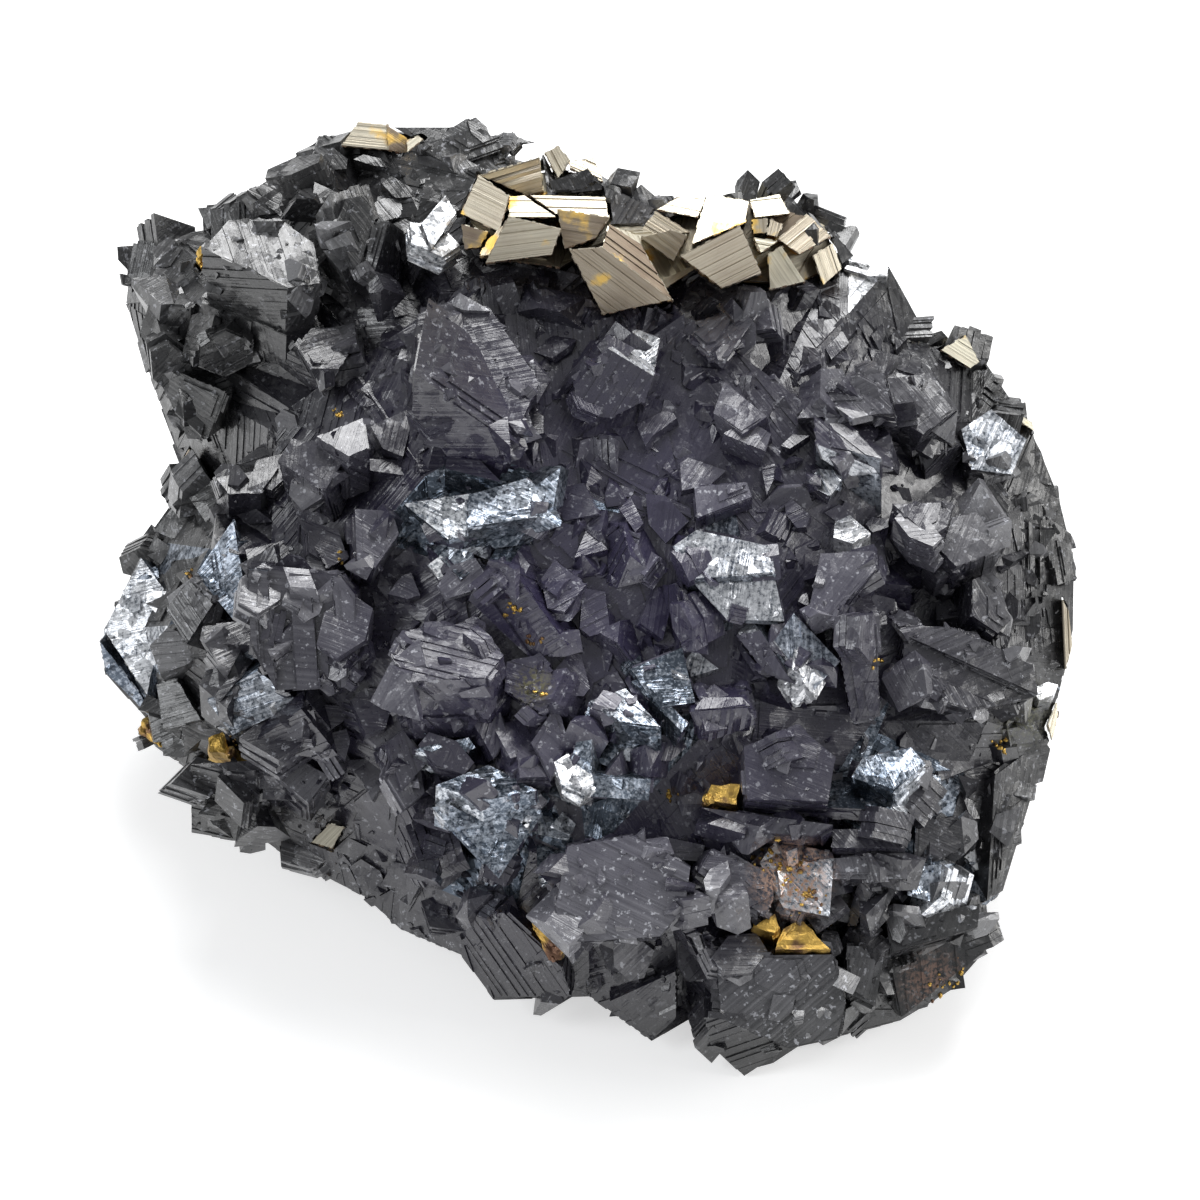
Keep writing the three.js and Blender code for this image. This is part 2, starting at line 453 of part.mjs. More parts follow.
crystal(0, 0.5, 2, 7, 25.9, -17.5, 27, -15.6, 31.8, -14.6, 33.2, -16.2, 30, -19, 27.5, -18.8);
crystal(0.2, 0.1, 1.2, 7, 32.4, -22, 36.5, -21.5, 37.8, -24, 34.5, -26, 32.2, -25.5);
crystal(0, 0.1, 1.5, 7, 31.6, -26.5, 36, -26.2, 34, -30, 31.5, -29.3);
striated(5, 50, 0.5, 0.4, 0, 2, 6, 38.3, -25.5, 39.6, -26.7, 39.2, -28.9, 37.5, -30, 36.1, -29.6);

// Lower right and foot: the bar, the large pitted faces and the blocks at the base
crystal(
  0.05, 0.25, 2.5, 9, 15.2, -14.5, 17.5, -13, 20.5, -12.3, 23, -13.4, 24.2, -15.5, 23.5,
  -19.8, 15.5, -19.5,
);
crystal(0, -0.7, 1.5, 8, 15, -20.1, 24, -20, 29.8, -20.8, 31.4, -22.2, 24, -22, 17, -21);
crystal(0, 0.3, 1.5, 8, 11, -20.5, 15, -20.3, 24, -22.2, 22, -23.3, 17, -23);
crystal(0, 0.4, 1.8, 8, 24, -22.7, 29.8, -22.6, 31.2, -24.6, 26, -25.2, 24, -24.5);
crystal(0, 0.2, 2.2, 9, 24.3, -25.4, 31.5, -25, 31.4, -27.6, 28.5, -27.5, 26, -28, 22.5, -27.6);
crystal(-0.5, -0.3, 2, 6, 26.8, -28, 28.8, -27, 26.3, -32.3, 25.6, -32.3);
crystal(0.2, 0, 2.2, 6, 29, -27.5, 30.5, -28.5, 28.3, -32.6, 26.8, -32.6);
crystal(0, 0.2, 1.5, 7, 16.8, -26, 18.5, -23.7, 22, -23.7, 24.2, -25, 22.5, -28, 23.7, -31.3, 19.1, -30.4);
crystal(
  0, 0, 3, 12, -2.2, -24.3, 4.3, -23.3, 6.6, -25.6, 9.9, -26.4, 9.4, -30.2, 6.9, -33.2, -2.3,
  -33.8, -3.4, -30.4,
);
crystal(0.2, 0.1, 3, 10, 12, -24.6, 16, -26.4, 18.1, -29.7, 17.3, -31.2, 14, -28.4, 10.7, -26.9);
crystal(
  -0.2, -0.7, 1, 9, -12, -31.5, -8.5, -31.2, -6, -33.5, -2.8, -36.5, -2, -39.5, -9.5, -39.5,
  -12.5, -34,
);
crystal(0, -0.6, 1, 9, 2, -40, 5.5, -37.8, 8.5, -37, 8.5, -41.8, 6.3, -43.8, 4.6, -43.3, 2.4, -41.5);
crystal(0, -0.2, 3, 10, 12.5, -35, 23.8, -34.7, 25.3, -40, 24.5, -43.3, 19.6, -44.3, 13, -41.5);
crystal(0, -1, 1, 8, 11.5, -41.5, 16.5, -41.7, 19.8, -44.5, 16.6, -47.5, 15.4, -47.5, 12, -44.2);
crystal(0.1, 0.1, 2.5, 8, 25.5, -34.3, 27.3, -33.6, 29.3, -34.5, 29.6, -38.5, 28.3, -40.3, 25.6, -39);
crystal(0.2, -0.2, 2, 10, 29.9, -36, 32, -33.6, 38.9, -32.5, 39.8, -34.5, 36.4, -38.3, 31, -41.5);
crystal(0.1, 0.2, 2, 8, 29.5, -31.5, 34, -30.8, 38.7, -30.2, 38.5, -32.5, 32, -33.6, 30, -35);

function mineral(name) {
  minerals[name] = [];
  current = minerals[name];
}

// Pyrite: striated cubes and pentagon faces along the top ridge and on the rim
mineral('pyrite_crest');
cube(-0.1, 0.3, 3, 7, -24.9, 45.6, -23.2, 48, -21.2, 48.1, -20.2, 47.6, -20, 45.1, -22.3, 44.9);
cube(0.5, -0.1, 2.8, 6, -20.4, 47.6, -18.4, 46.3, -18.1, 44.6, -20.2, 45.1);
cube(0.1, 0.3, 2.4, 5, -18.3, 46.1, -17.2, 46.5, -16.7, 46.2, -18.3, 44.9);
mineral('pyrite_ridge');
cube(0, 0.5, 3, 6, -8.6, 43.8, -7.2, 45.3, -4.6, 45.8, -4.3, 45.1, -5.5, 44);
cube(0.3, 0.2, 2.5, 6, -4.5, 44.7, -3.2, 45.4, -2, 44, -2.2, 42.8, -3.2, 42.2, -4.3, 43.2);
cube(0.1, 0.5, 2.5, 5, -2, 43.8, 0.4, 44.1, 1.3, 41.8, -0.5, 43, -2, 43.2);
cube(-0.2, -0.6, 4, 6, -10.9, 42.3, -8, 43.5, -5, 44, -4.7, 40.8, -6.2, 40.3, -9, 41.5);
cube(-0.4, 0.3, 4, 7, -12.2, 41, -11, 42.2, -9.8, 41.8, -8, 40, -8.1, 38, -9, 36.5, -12.8, 38.4);
cube(-0.3, -0.2, 3.5, 6, -12.7, 37.2, -11, 37.4, -10.1, 36.4, -10.9, 35, -12.4, 34.8);
cube(0.3, 0.4, 3.6, 6, -10.9, 34, -10.1, 35.6, -8, 37.8, -10, 34.2);
cube(0, -0.5, 4, 7, -10.3, 33.4, -8, 37.9, -5, 37.5, -2.9, 36.7, -2.5, 35.6, -3.8, 34.2, -8.5, 33.5);
cube(0, 0.9, 4.2, 5, -8, 38, -8, 40, -6.5, 40.1, -3.4, 38, -4.5, 37.6);
cube(0, 0.7, 4.5, 7, -5.9, 40.2, 1.5, 40, 1.8, 38, -3.4, 38.4);
cube(0, 0.1, 4.5, 7, -3.2, 38.7, 1.8, 37.9, 1.8, 37.2, 0.6, 35.9, -2.5, 34.8);
cube(0.4, 0.6, 4.2, 7, 1.3, 36.3, 1.9, 37.2, 5, 35.2, 8.5, 30.2, 8.2, 29.6, 4, 32.3, 1.2, 34.8);
cube(-0.1, -0.5, 3.8, 7, -2, 34.6, 1.2, 34.8, 4.5, 32.2, 8, 29.7, 1.3, 28.3, -1.2, 32);
cube(0, 0.2, 4.5, 4, 1, 30.8, 2.1, 30.8, 2.1, 29.5, 1, 29.5);
cube(0.1, 0.5, 4, 6, 6.7, 39, 8.8, 40.2, 11.6, 40.1, 10.7, 38.2, 8, 38.2);
cube(-0.3, 0.5, 4.2, 6, 4.9, 36.7, 6.6, 38.8, 8, 38.1, 9.9, 36.7, 5, 36.2);
cube(-0.1, -0.1, 4, 7, 5.1, 36, 8.1, 36.7, 9.6, 36.2, 9.4, 34.9, 8.3, 33.7, 5.8, 34.9);
cube(0.15, 0.75, 5, 8, 11.7, 40.4, 14.9, 40.1, 15.8, 39.7, 15.4, 37.6, 14.6, 36.9, 11.3, 35.2, 10.2, 35.4);
cube(0.05, -0.7, 4.6, 7, 10.2, 35.4, 14.8, 36.9, 16.6, 34.3, 16.9, 32.4, 13.1, 30.9, 9, 34);
cube(0.1, 0.5, 4.2, 6, 16, 39.9, 18.9, 40.5, 19.9, 38.6, 19, 38, 16.5, 38.2);
cube(0, 0.2, 4.4, 4, 16.2, 37.9, 17.6, 38, 17.6, 36.6, 16.3, 36.5);
cube(0.3, 0.2, 4.2, 4, 18, 37.9, 19.2, 37.4, 18.6, 36.2, 17.6, 36.4);
cube(0.3, 0.4, 4.2, 7, 18.7, 36, 19.9, 37.9, 21.7, 38.5, 23.7, 37.6, 24, 36.3, 22, 34.6, 20.9, 34.5);
cube(-0.1, 0.1, 4.4, 7, 17.7, 34.3, 19, 35.1, 20.9, 33.8, 21.3, 31.6, 17.9, 30.8, 17.5, 32.4);
cube(0.5, 0, 4, 7, 22.3, 34.4, 24.2, 35.6, 25.1, 33.1, 23.3, 31.5, 22.9, 32.4);
cube(0, 0.3, 3.8, 5, 16.3, 36, 18.6, 35.6, 17, 34.5);
cube(-0.2, -0.1, 2.5, 3, -10, 47, -9, 47.6, -8.2, 47.2, -8, 46.4, -9.2, 46.3);
bed(0, 8, -12, 38, -9.5, 42, -2.5, 43, 1, 42, 2, 36, -3, 33, -10.5, 34);
bed(0, 6, 0, 38, 8, 39, 12, 39, 12, 34, 6, 30, 1, 29, 0, 35);
bed(0, 8, 11, 39.5, 19, 39.8, 23.5, 37.5, 24.8, 33.5, 20, 31.5, 12, 32);
mineral('pyrite_edge_pair');
cube(0.1, 0.7, 2.5, 4, 32, 25.9, 33, 26.2, 36.5, 26.9, 36.6, 26.2, 34.5, 25.5);
cube(0.3, 0.1, 2.5, 5, 35.1, 25, 37.6, 26.4, 38.9, 23.8, 38, 23.2, 36.1, 24);
mineral('pyrite_rim_plate');
cube(0.4, 0.6, 1.8, 4, 41.4, 19, 42, 19.3, 44.3, 17.7, 44.3, 17, 43.5, 17.1);
mineral('pyrite_notch_chip');
cube(-0.5, 0.2, 1.4, 4, -41.9, 13, -40.5, 15.2, -40.1, 14, -41.3, 12.5);
mineral('pyrite_rim_strip');
cube(0.8, 0, 1, 4, 47.3, 0, 47.8, -1, 48.2, -4.5, 47.6, -6.9, 47.4, -4);
mineral('pyrite_rim_chip');
cube(0.7, 0.1, 1, 4, 46.7, -10.3, 46.8, -11.5, 46.2, -14, 45.8, -12.5);
mineral('pyrite_foot_chip');
cube(0, 0.1, 1.8, 4, -27.8, -24.2, -26, -22.4, -24.6, -22.7, -25.8, -24.8);

// Chalcopyrite: small brassy grains between the dark crystals
mineral('chalcopyrite_shoulder');
crystal(-0.2, 0.3, 3.4, 4, -39.7, 34.2, -39.3, 35.2, -38.6, 35.6, -37.9, 34.9, -38.4, 33.8, -39.1, 33.3);
mineral('chalcopyrite_summit');
crystal(-0.2, 0.4, 2.6, 4, -27.7, 40.2, -26.2, 39.9, -24.6, 39.5, -24.5, 38.5, -25.4, 38.1, -27, 37.9);
mineral('chalcopyrite_left_edge');
crystal(-0.4, 0, 1.8, 4, -45.6, -13.5, -45, -12.3, -43.8, -12, -43.2, -12.8, -43.3, -14.8, -44.3, -14.4);
mineral('chalcopyrite_left_band');
crystal(-0.1, 0.1, 2.2, 4, -39.7, -14.5, -38.9, -13.8, -38, -14.3, -37.9, -15.6, -39.3, -15.9);
crystal(0, 0.3, 2, 4, -38.2, -13.8, -36.8, -13.2, -35.5, -14.2, -35.6, -15.4, -38.2, -15.2);
crystal(0.1, 0.1, 2, 4, -35.8, -14.9, -34.8, -15.3, -33.4, -16.4, -34, -16.9, -35.8, -16.2);
bed(-1, 5, -39.5, -14.2, -38.5, -13.8, -34, -15.2, -34, -16.6, -39, -15.8);
mineral('chalcopyrite_centre');
crystal(0, 0.2, 1.8, 4, 11.2, -19.7, 12, -18.2, 14.8, -18.2, 14.5, -20.2);
mineral('chalcopyrite_right_foot');
crystal(0, 0.3, 3.6, 5, 18.3, -34.6, 19.1, -32.5, 21.1, -31.7, 23.2, -33, 23.9, -34.6);
crystal(0, 0.3, 3.4, 4, 16, -32.3, 18.3, -31, 18.9, -32.4, 18.3, -33);
bed(-1, 4, 16.5, -32.2, 18, -31.4, 21, -32.5, 21, -34, 18.5, -34);
mineral('chalcopyrite_front_foot');
crystal(-0.1, -0.2, 2, 4, -5.9, -32, -3.9, -31.7, -2.6, -33, -2.8, -35.8, -4.1, -35.8, -4.9, -33.8);
current = mass;

// Small crystals fill the display face wherever no large face was placed.
function fillCrystals() {
  const found = [];
  for (let v = -44; v < 45; v += FILL_SPACING) {
    for (let u = -46; u < 47; u += FILL_SPACING) {
      const spot = new THREE.Vector2(u + between(-1.6, 1.6), v + between(-1.6, 1.6));
      const size = between(2.6, 4.6);
      const lift = between(0.2, 1.8);
      const tilt = [between(-0.6, 0.6), between(-0.6, 0.6)];
      const inside = spot.length() < outlineReach(spot.angle()) - RIM_INSET - 1;
      const free = placed.every(({ middle, radius }) => middle.distanceTo(spot) > 0.75 * radius + 1.2);
      if (inside && free) {
        const centre = toWorld(spot.x, spot.y, domeLevel(spot.x, spot.y) + lift);
        found.push(blende(centre, size, toWorldDirection(...tilt, 1)));
      }
    }
  }
  return found;
}

// Larger, blunter crystals on the back and sides.
function backCrystals() {
  const found = [];
  while (found.length < BACK_CRYSTALS) {
    const angle = between(0, 2 * Math.PI);
    const down = between(0.08, 0.85);
    const point = backPoint(angle, down);
    const alongRim = backPoint(angle + 0.02, down).sub(point);
    const downward = backPoint(angle, down + 0.02).sub(point);
    const normal = downward.cross(alongRim).normalize();
    const size = between(6.5, 11);
    const lift = between(0.8, 2.6);
    if (point.z > 7) found.push(blende(point.addScaledVector(normal, lift), size, normal));
  }
  return found;
}

function hull(points) {
  return solidOf(new ConvexGeometry(points));
}

const joined = (solids) => solids.reduce((whole, solid) => whole.add(solid));
const aboveBase = (solid) => solid.trimByPlane([0, 0, 1], 0);

function largestPiece(solid) {
  return solid.decompose().reduce((best, piece) => (piece.volume() > best.volume() ? piece : best));
}

function geometryOf(solid) {
  const { vertProperties, triVerts } = solid.getMesh();
  const geometry = new THREE.BufferGeometry();
  geometry.setAttribute('position', new THREE.BufferAttribute(new Float32Array(vertProperties), 3));
  geometry.setIndex(new THREE.BufferAttribute(new Uint32Array(triVerts), 1));
  return geometry;
}

// Corners closer together than the weld become one, which rids joined crystals of slivers. Corners
// stay apart where joining them would make two surfaces touch along an edge.
function withoutSlivers(solid, weld) {
  const { vertProperties, triVerts } = solid.getMesh();
  const cellOf = (i) =>
    [0, 1, 2].map((axis) => Math.round(vertProperties[3 * i + axis] / weld)).join();
  const apart = new Set();
  let triangles = [];
  let known = -1;
  while (apart.size > known) {
    known = apart.size;
    const first = new Map();
    const joinedTo = Array.from({ length: vertProperties.length / 3 }, (_, i) => {
      const cell = cellOf(i);
      if (apart.has(cell)) return i;
      if (!first.has(cell)) first.set(cell, i);
      return first.get(cell);
    });
    triangles = [];
    const uses = new Map();
    for (let i = 0; i < triVerts.length; i += 3) {
      const corners = [...triVerts.slice(i, i + 3)].map((corner) => joinedTo[corner]);
      if (new Set(corners).size === 3) {
        triangles.push(...corners);
        corners.forEach((a, side) => {
          const b = corners[(side + 1) % 3];
          const edge = [Math.min(a, b), Math.max(a, b)].join();
          uses.set(edge, (uses.get(edge) ?? 0) + 1);
        });
      }
    }
    uses.forEach((count, edge) => {
      if (count !== 2) edge.split(',').forEach((corner) => apart.add(cellOf(corner)));
    });
  }
  const numProp = 3;
  const used = new wasm.Mesh({ numProp, vertProperties, triVerts: new Uint32Array(triangles) });
  return largestPiece(new wasm.Manifold(used));
}

function meshOf(name, solid, color, roughness, metalness, shift) {
  const material = new THREE.MeshStandardMaterial({ color, roughness, metalness });
  const mesh = new THREE.Mesh(geometryOf(withoutSlivers(solid, FINE_WELD)), material);
  mesh.name = name;
  mesh.position.copy(shift);
  return mesh;
}

const LOOKS = {
  pyrite: [0xb5a888, 0.3, 1],
  chalcopyrite: [0xb08a3c, 0.4, 1],
};

const solidsOf = (crystals) => crystals.flatMap(({ parts }) => parts).map(hull);

const grown = [...fillCrystals(), ...backCrystals()].map(hull);
let body = joined([roughBody(), core(), ...solidsOf(mass), ...grown]);
body = withoutSlivers(body, COARSE_WELD);
const grains = Object.entries(minerals).map(([name, crystals]) => {
  body = body.subtract(joined(crystals.map(({ room }) => hull(room))));
  return [name, aboveBase(joined(solidsOf(crystals)))];
});
body = aboveBase(body);

// The origin is under the middle of everything together.
const boxes = [body, ...grains.map(([, solid]) => solid)].map((solid) => solid.boundingBox());
const shift = new THREE.Vector3(
  ...[0, 1].map((axis) => {
    const low = Math.min(...boxes.map(({ min }) => min[axis]));
    const high = Math.max(...boxes.map(({ max }) => max[axis]));
    return -(low + high) / 2;
  }),
  0,
);

const specimen = new THREE.Group();
specimen.add(meshOf('sphalerite_mass', body, 0x35353a, 0.35, 0.1, shift));
grains.forEach(([name, solid]) => {
  specimen.add(meshOf(name, solid, ...LOOKS[name.split('_')[0]], shift));
});

export default specimen;
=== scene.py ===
import math
import random

import bmesh
import bpy
from mathutils import Matrix, Vector, noise
from mathutils.bvhtree import BVHTree


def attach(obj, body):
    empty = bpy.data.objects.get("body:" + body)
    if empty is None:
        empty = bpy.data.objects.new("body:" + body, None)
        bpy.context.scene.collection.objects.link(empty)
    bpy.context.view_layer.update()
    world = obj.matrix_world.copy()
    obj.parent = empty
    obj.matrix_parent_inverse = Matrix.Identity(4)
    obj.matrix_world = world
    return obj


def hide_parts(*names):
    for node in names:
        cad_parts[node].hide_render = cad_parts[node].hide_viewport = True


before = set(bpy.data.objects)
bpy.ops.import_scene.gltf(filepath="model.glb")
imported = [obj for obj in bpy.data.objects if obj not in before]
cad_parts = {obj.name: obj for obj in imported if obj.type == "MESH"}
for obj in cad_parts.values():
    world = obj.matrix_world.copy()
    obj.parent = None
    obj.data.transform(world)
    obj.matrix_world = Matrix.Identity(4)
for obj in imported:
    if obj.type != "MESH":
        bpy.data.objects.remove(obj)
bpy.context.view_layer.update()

# The rough mass of zinc blende: dark cleavable crystals grown into each other, leaning back on a
# flat broken base. Its solid is copied, and most of its large faces get the ledges or fine ridges
# that twinning and cleavage leave on real blende.
MM = 0.001
TILT = math.radians(48)
PLANE_MIDDLE = Vector((0.45, -0.9277, 30)) * MM
ACROSS = Vector((1, 0, 0))
UPWARD = Vector((0, math.sin(TILT), math.cos(TILT)))
OUTWARD = Vector((0, -math.cos(TILT), math.sin(TILT)))
ABOVE = 80  # mm in front of the display plane, clear of the stone: rays towards it start here
chance = random.Random(11)


def on_display(u, v, w=0.0):
    return PLANE_MIDDLE + (ACROSS * u + UPWARD * v + OUTWARD * w) * MM


def display_place(point):
    away = (point - PLANE_MIDDLE) / MM
    return away.dot(ACROSS), away.dot(UPWARD)


# Crystals that stand out by their look, as u, v, reach in mm on the display plane.
FOIL = [
    (-46.5, -5.5, 4.5), (-46, 0, 3.5), (-14.5, 8.3, 4.5), (-8.5, 9.8, 3.5), (-9, 6.8, 2.5),
    (6, -8.5, 3.5),
    (3, -14.8, 4.5), (0.5, -18.5, 3.5), (4.5, -19, 3), (-2.5, -22.4, 2), (-14.3, -14.8, 2.5),
    (-10.5, -23, 5),
    (29, -17, 3.5), (30.5, -20, 3), (31.5, -23, 3), (33, -27, 2.5), (-35, 3, 2.5), (-33.5, -6.5, 2),
]
SILVER = [
    (-15, 37.5, 2.2), (13.5, 4.3, 4), (15.5, 0, 3.6), (21.6, -5, 3.2), (10.8, -6.2, 2.2), (38, -28, 2.6),
    (40, 16, 3), (24.5, 11.8, 2), (25.5, 7.3, 2), (5, 24.5, 2.2), (-33, -11.8, 2.2), (45.4, -9.2, 1.6),
    (28, 33.2, 1.8), (32.5, -31, 1.6), (-46.3, -2, 4), (17.5, -25.5, 1.7), (21, -28.3, 2),
]
PALE = [
    (-25.3, 33.8, 2.6), (-25.5, 31.3, 2), (-20, 39, 2.2), (15, 18, 3.2), (6.8, 17.2, 2.2),
    (25, 16, 3.6), (25, 2.5, 3.6), (31, 3, 2.4), (35.7, -0.7, 2.6), (37.5, 6, 3.2), (11.5, 12.5, 2.6),
    (13, 10, 2.6), (-29, -3, 6), (-41.5, -5, 3), (19.5, -16, 5), (8, -14.5, 2), (-1.8, -7.5, 2),
    (-24, 16, 3), (-19.5, 17, 2), (-13.6, -24.8, 2.4), (35.7, -5.3, 2), (37.7, -18.2, 2.4),
    (20, -38, 5.5),
    (38, -22, 2), (-21, 6.5, 2.2), (-5, 3.5, 2.2), (28, -36.5, 2.5), (3, -28.5, 6),
]
DARK = [
    (-36, 27, 6), (-35.5, 17.5, 4.5), (-30.5, 20.7, 3), (-38.8, 14.8, 3), (-15, 42, 2), (-12, 16, 4.5),
    (-28, 38.5, 2.5), (-1.5, 41.8, 3), (22, 38, 4.5), (25, 29.7, 3.5), (28, 9.8, 2.5), (30, 0, 3),
    (26.5, -7, 3.6), (-22.3, -4, 2), (3, 21, 3.5), (-7, 0, 3.5), (13, -12, 3), (24, -21.3, 5),
    (15, -23.8, 3),
    (36, -27.5, 2.5), (-7, -36, 5), (5.5, -41, 3.5), (15.8, -44.5, 3.5), (19.8, 2, 1.6), (26, 13.2, 2.6),
    (-10, -18.2, 3), (9.3, 1, 3.5), (-42.5, 26, 3.5), (35, -36, 4), (31.5, 6, 2), (7.5, 8.5, 2.4),
]

# Broad areas that are paler or darker than the rest, as u, v, reach in mm and change of tone.
BROAD = [
    (14, -14, 24, 0.14), (34, 26, 20, -0.16), (46, 12, 10, -0.1), (-36, 18, 10, -0.14),
    (-34, 34, 10, -0.05),
]

mass = bmesh.new()
mass.from_mesh(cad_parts["sphalerite_mass"].data)
bmesh.ops.remove_doubles(mass, verts=mass.verts, dist=1e-7)
bmesh.ops.dissolve_limit(mass, angle_limit=math.radians(0.6), verts=mass.verts, edges=mass.edges)
surface = BVHTree.FromBMesh(mass)
tone_of = mass.faces.layers.float.new("tone")
foil_of = mass.faces.layers.float.new("foil")
grain_of = mass.faces.layers.float_vector.new("grain")


LOOKS = ((SILVER, 1.0, 0.75), (FOIL, 0.66, 1.0), (DARK, 0.06, 0.0), (PALE, 0.64, 0.0))
COMMON_TONE = 0.4


def look_at(u, v):
    """The tone and the share of foil that a crystal at u, v on the display face has."""
    for places, tone, foil in LOOKS:
        if any(math.hypot(u - pu, v - pv) < reach for pu, pv, reach in places):
            return tone, foil
    tone = COMMON_TONE
    for pu, pv, reach, change in BROAD:
        tone += change * max(1 - math.hypot(u - pu, v - pv) / reach, 0)
    return tone, 0.0


# Limits of the painted shade and painted light that the level round a crystal puts into its tone.
DEEPEST_PAINTED_SHADE, LIGHTEST_PAINTED_LIGHT = -0.34, 0.14


def shade_at(point):
    """Painted shade and painted light: how much the tone of a crystal is lowered in a hollow, or raised
    on a rise, by the level round it.
    """
    u, v = display_place(point)
    levels = []
    for turn in (math.radians(degrees) for degrees in range(0, 360, 60)):
        start = on_display(u + 3 * math.cos(turn), v + 3 * math.sin(turn), ABOVE)
        hit = surface.ray_cast(start, -OUTWARD)[0]
        if hit is not None:
            levels.append((hit - point).dot(OUTWARD) / MM)
    around = sum(levels) / max(len(levels), 1)
    return min(max(-0.1 * around, DEEPEST_PAINTED_SHADE), LIGHTEST_PAINTED_LIGHT)


def grain_at(point):
    """The direction square to the cleavage of the crystals round a point: neighbours share one."""
    cell = random.Random(str([round(c / 0.011) for c in point]))
    return Vector((cell.uniform(-1, 1), cell.uniform(-1, 1), cell.uniform(-0.6, 1))).normalized()


def dress(face, tone, foil, grain):
    face[tone_of] = tone
    face[foil_of] = foil
    face[grain_of] = grain


for face in mass.faces:
    centre = face.calc_center_median()
    tone, foil = 0.36, 0.0
    if face.normal.dot(OUTWARD) > 0:
        tone, foil = look_at(*display_place(centre))
        # Painted shade and painted light: the tone is lowered in hollows and raised on rises, and the
        # mass is set a little darker than the crystals grown on it so the gaps between them look dark.
        tone = min(tone + shade_at(centre) - 0.06, 0.62 + 0.4 * foil)
    dress(face, min(max(tone + chance.gauss(0, 0.12), 0), 1), foil, grain_at(centre))


def patch_of(face, layers, sink):
    """A bmesh of its own with a copy of one face, sunk a little, that ledges are made from."""
    patch = bmesh.new()
    copies = [patch.faces.layers.float.new("tone"), patch.faces.layers.float.new("foil")]
    copies.append(patch.faces.layers.float_vector.new("grain"))
    corners = [patch.verts.new(vert.co - face.normal * sink) for vert in face.verts]
    copy = patch.faces.new(corners)
    copy.normal_update()
    for layer, new_layer in zip(layers, copies):
        copy[new_layer] = face[layer]
    return patch


def cut_strips(patch, across, spacing):
    """Cuts the patch into strips square to a direction and keeps every second one."""
    normal = next(iter(patch.faces)).normal.copy()
    reach = [vert.co.dot(across) for vert in patch.verts]
    place = min(reach) + spacing * chance.uniform(0.3, 1)
    while place < max(reach) - 0.2 * spacing:
        geom = [*patch.verts, *patch.edges, *patch.faces]
        bmesh.ops.bisect_plane(patch, geom=geom, dist=1e-8, plane_co=across * place, plane_no=across)
        place += spacing * chance.uniform(0.5, 1.7)
    strips = sorted(patch.faces, key=lambda strip: strip.calc_center_median().dot(across))
    bmesh.ops.delete(patch, geom=strips[1::2], context="FACES")
    return normal


def raise_patch(patch, normal, rise):
    """Makes each face of the patch a closed ledge that stands out by about the rise."""
    for strip in list(patch.faces):
        made = bmesh.ops.extrude_face_region(patch, geom=[strip], use_keep_orig=True)["geom"]
        tops = [part for part in made if isinstance(part, bmesh.types.BMVert)]
        bmesh.ops.translate(patch, verts=tops, vec=normal * rise * chance.uniform(0.4, 1))
    bmesh.ops.recalc_face_normals(patch, faces=patch.faces)


def add_patch(patch, into):
    mesh = bpy.data.meshes.new("ledges")
    patch.to_mesh(mesh)
    patch.free()
    into.from_mesh(mesh)
    bpy.data.meshes.remove(mesh)


def ridge_face(face, layers, into, spacing, sink, rise):
    """Covers a face with parallel ridges square to its grain."""
    grain = face[layers[2]]
    across = grain - face.normal * grain.dot(face.normal)
    if across.length > 0.25:
        patch = patch_of(face, layers, sink)
        normal = cut_strips(patch, across.normalized(), spacing)
        raise_patch(patch, normal, sink + rise)
        add_patch(patch, into)


def ledge_face(face, layers, into, count, sink, rise):
    """Piles thin plates on a face, each smaller than the one below and set off to one side."""
    share = 1
    corner = chance.choice(list(face.verts)).co.copy()
    for level in range(count):
        share *= chance.uniform(0.45, 0.85)
        patch = patch_of(face, layers, sink)
        centre = corner.lerp(face.calc_center_median(), chance.uniform(0.05, 0.45))
        for vert in patch.verts:
            vert.co = centre + (vert.co - centre) * share
        raise_patch(patch, face.normal.copy(), sink + rise * (level + 1))
        add_patch(patch, into)


layers = (tone_of, foil_of, grain_of)
LARGE_FACE = 3.5 * MM**2
BASE_EDGE = 2 * MM  # the broken base below this stays plain
RIDGED = 0.42  # share of the large faces with ridges
RIDGED_OR_STEPPED = 0.92  # share with ridges or with ledges
SINK = 0.1 * MM  # how deep ridges and ledges start under the face
ledges = bmesh.new()
for face in mass.faces:
    if face.calc_area() > LARGE_FACE and face.calc_center_median().z > BASE_EDGE:
        kind = chance.random()
        if kind < RIDGED:
            ridge_face(face, layers, ledges, chance.uniform(0.35, 0.9) * MM, SINK, 0.16 * MM)
        elif kind < RIDGED_OR_STEPPED:
            ledge_face(face, layers, ledges, chance.randint(1, 3), SINK, 0.22 * MM)

mass_sides = [(face.calc_center_median(), face.normal.copy(), face.calc_area()) for face in mass.faces]
add_patch(ledges, mass)
mass_mesh = bpy.data.meshes.new("sphalerite_mass_detail")
mass.to_mesh(mass_mesh)
mass.free()
mass_piece = bpy.data.objects.new("sphalerite_body", mass_mesh)
bpy.context.scene.collection.objects.link(mass_piece)
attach(mass_piece, "root")
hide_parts("sphalerite_mass")

# Small crystals that cover the mass: laminated blocks, wedges, cut cubes and broken shards, a few
# tenths of a millimetre to four millimetres across, rooted in the larger ones.
def new_shape(name, shape):
    bmesh.ops.recalc_face_normals(shape, faces=shape.faces)
    shape.faces.layers.float.new("tone")
    shape.faces.layers.float.new("foil")
    shape.faces.layers.float_vector.new("grain")
    mesh = bpy.data.meshes.new(name)
    shape.to_mesh(mesh)
    shape.free()
    return mesh


def cut_corner(shape, place, direction):
    geom = [*shape.verts, *shape.edges, *shape.faces]
    cut = bmesh.ops.bisect_plane(
        shape, geom=geom, plane_co=place, plane_no=direction, clear_outer=True
    )["geom_cut"]
    rim = [part for part in cut if isinstance(part, bmesh.types.BMEdge)]
    bmesh.ops.contextual_create(shape, geom=rim)


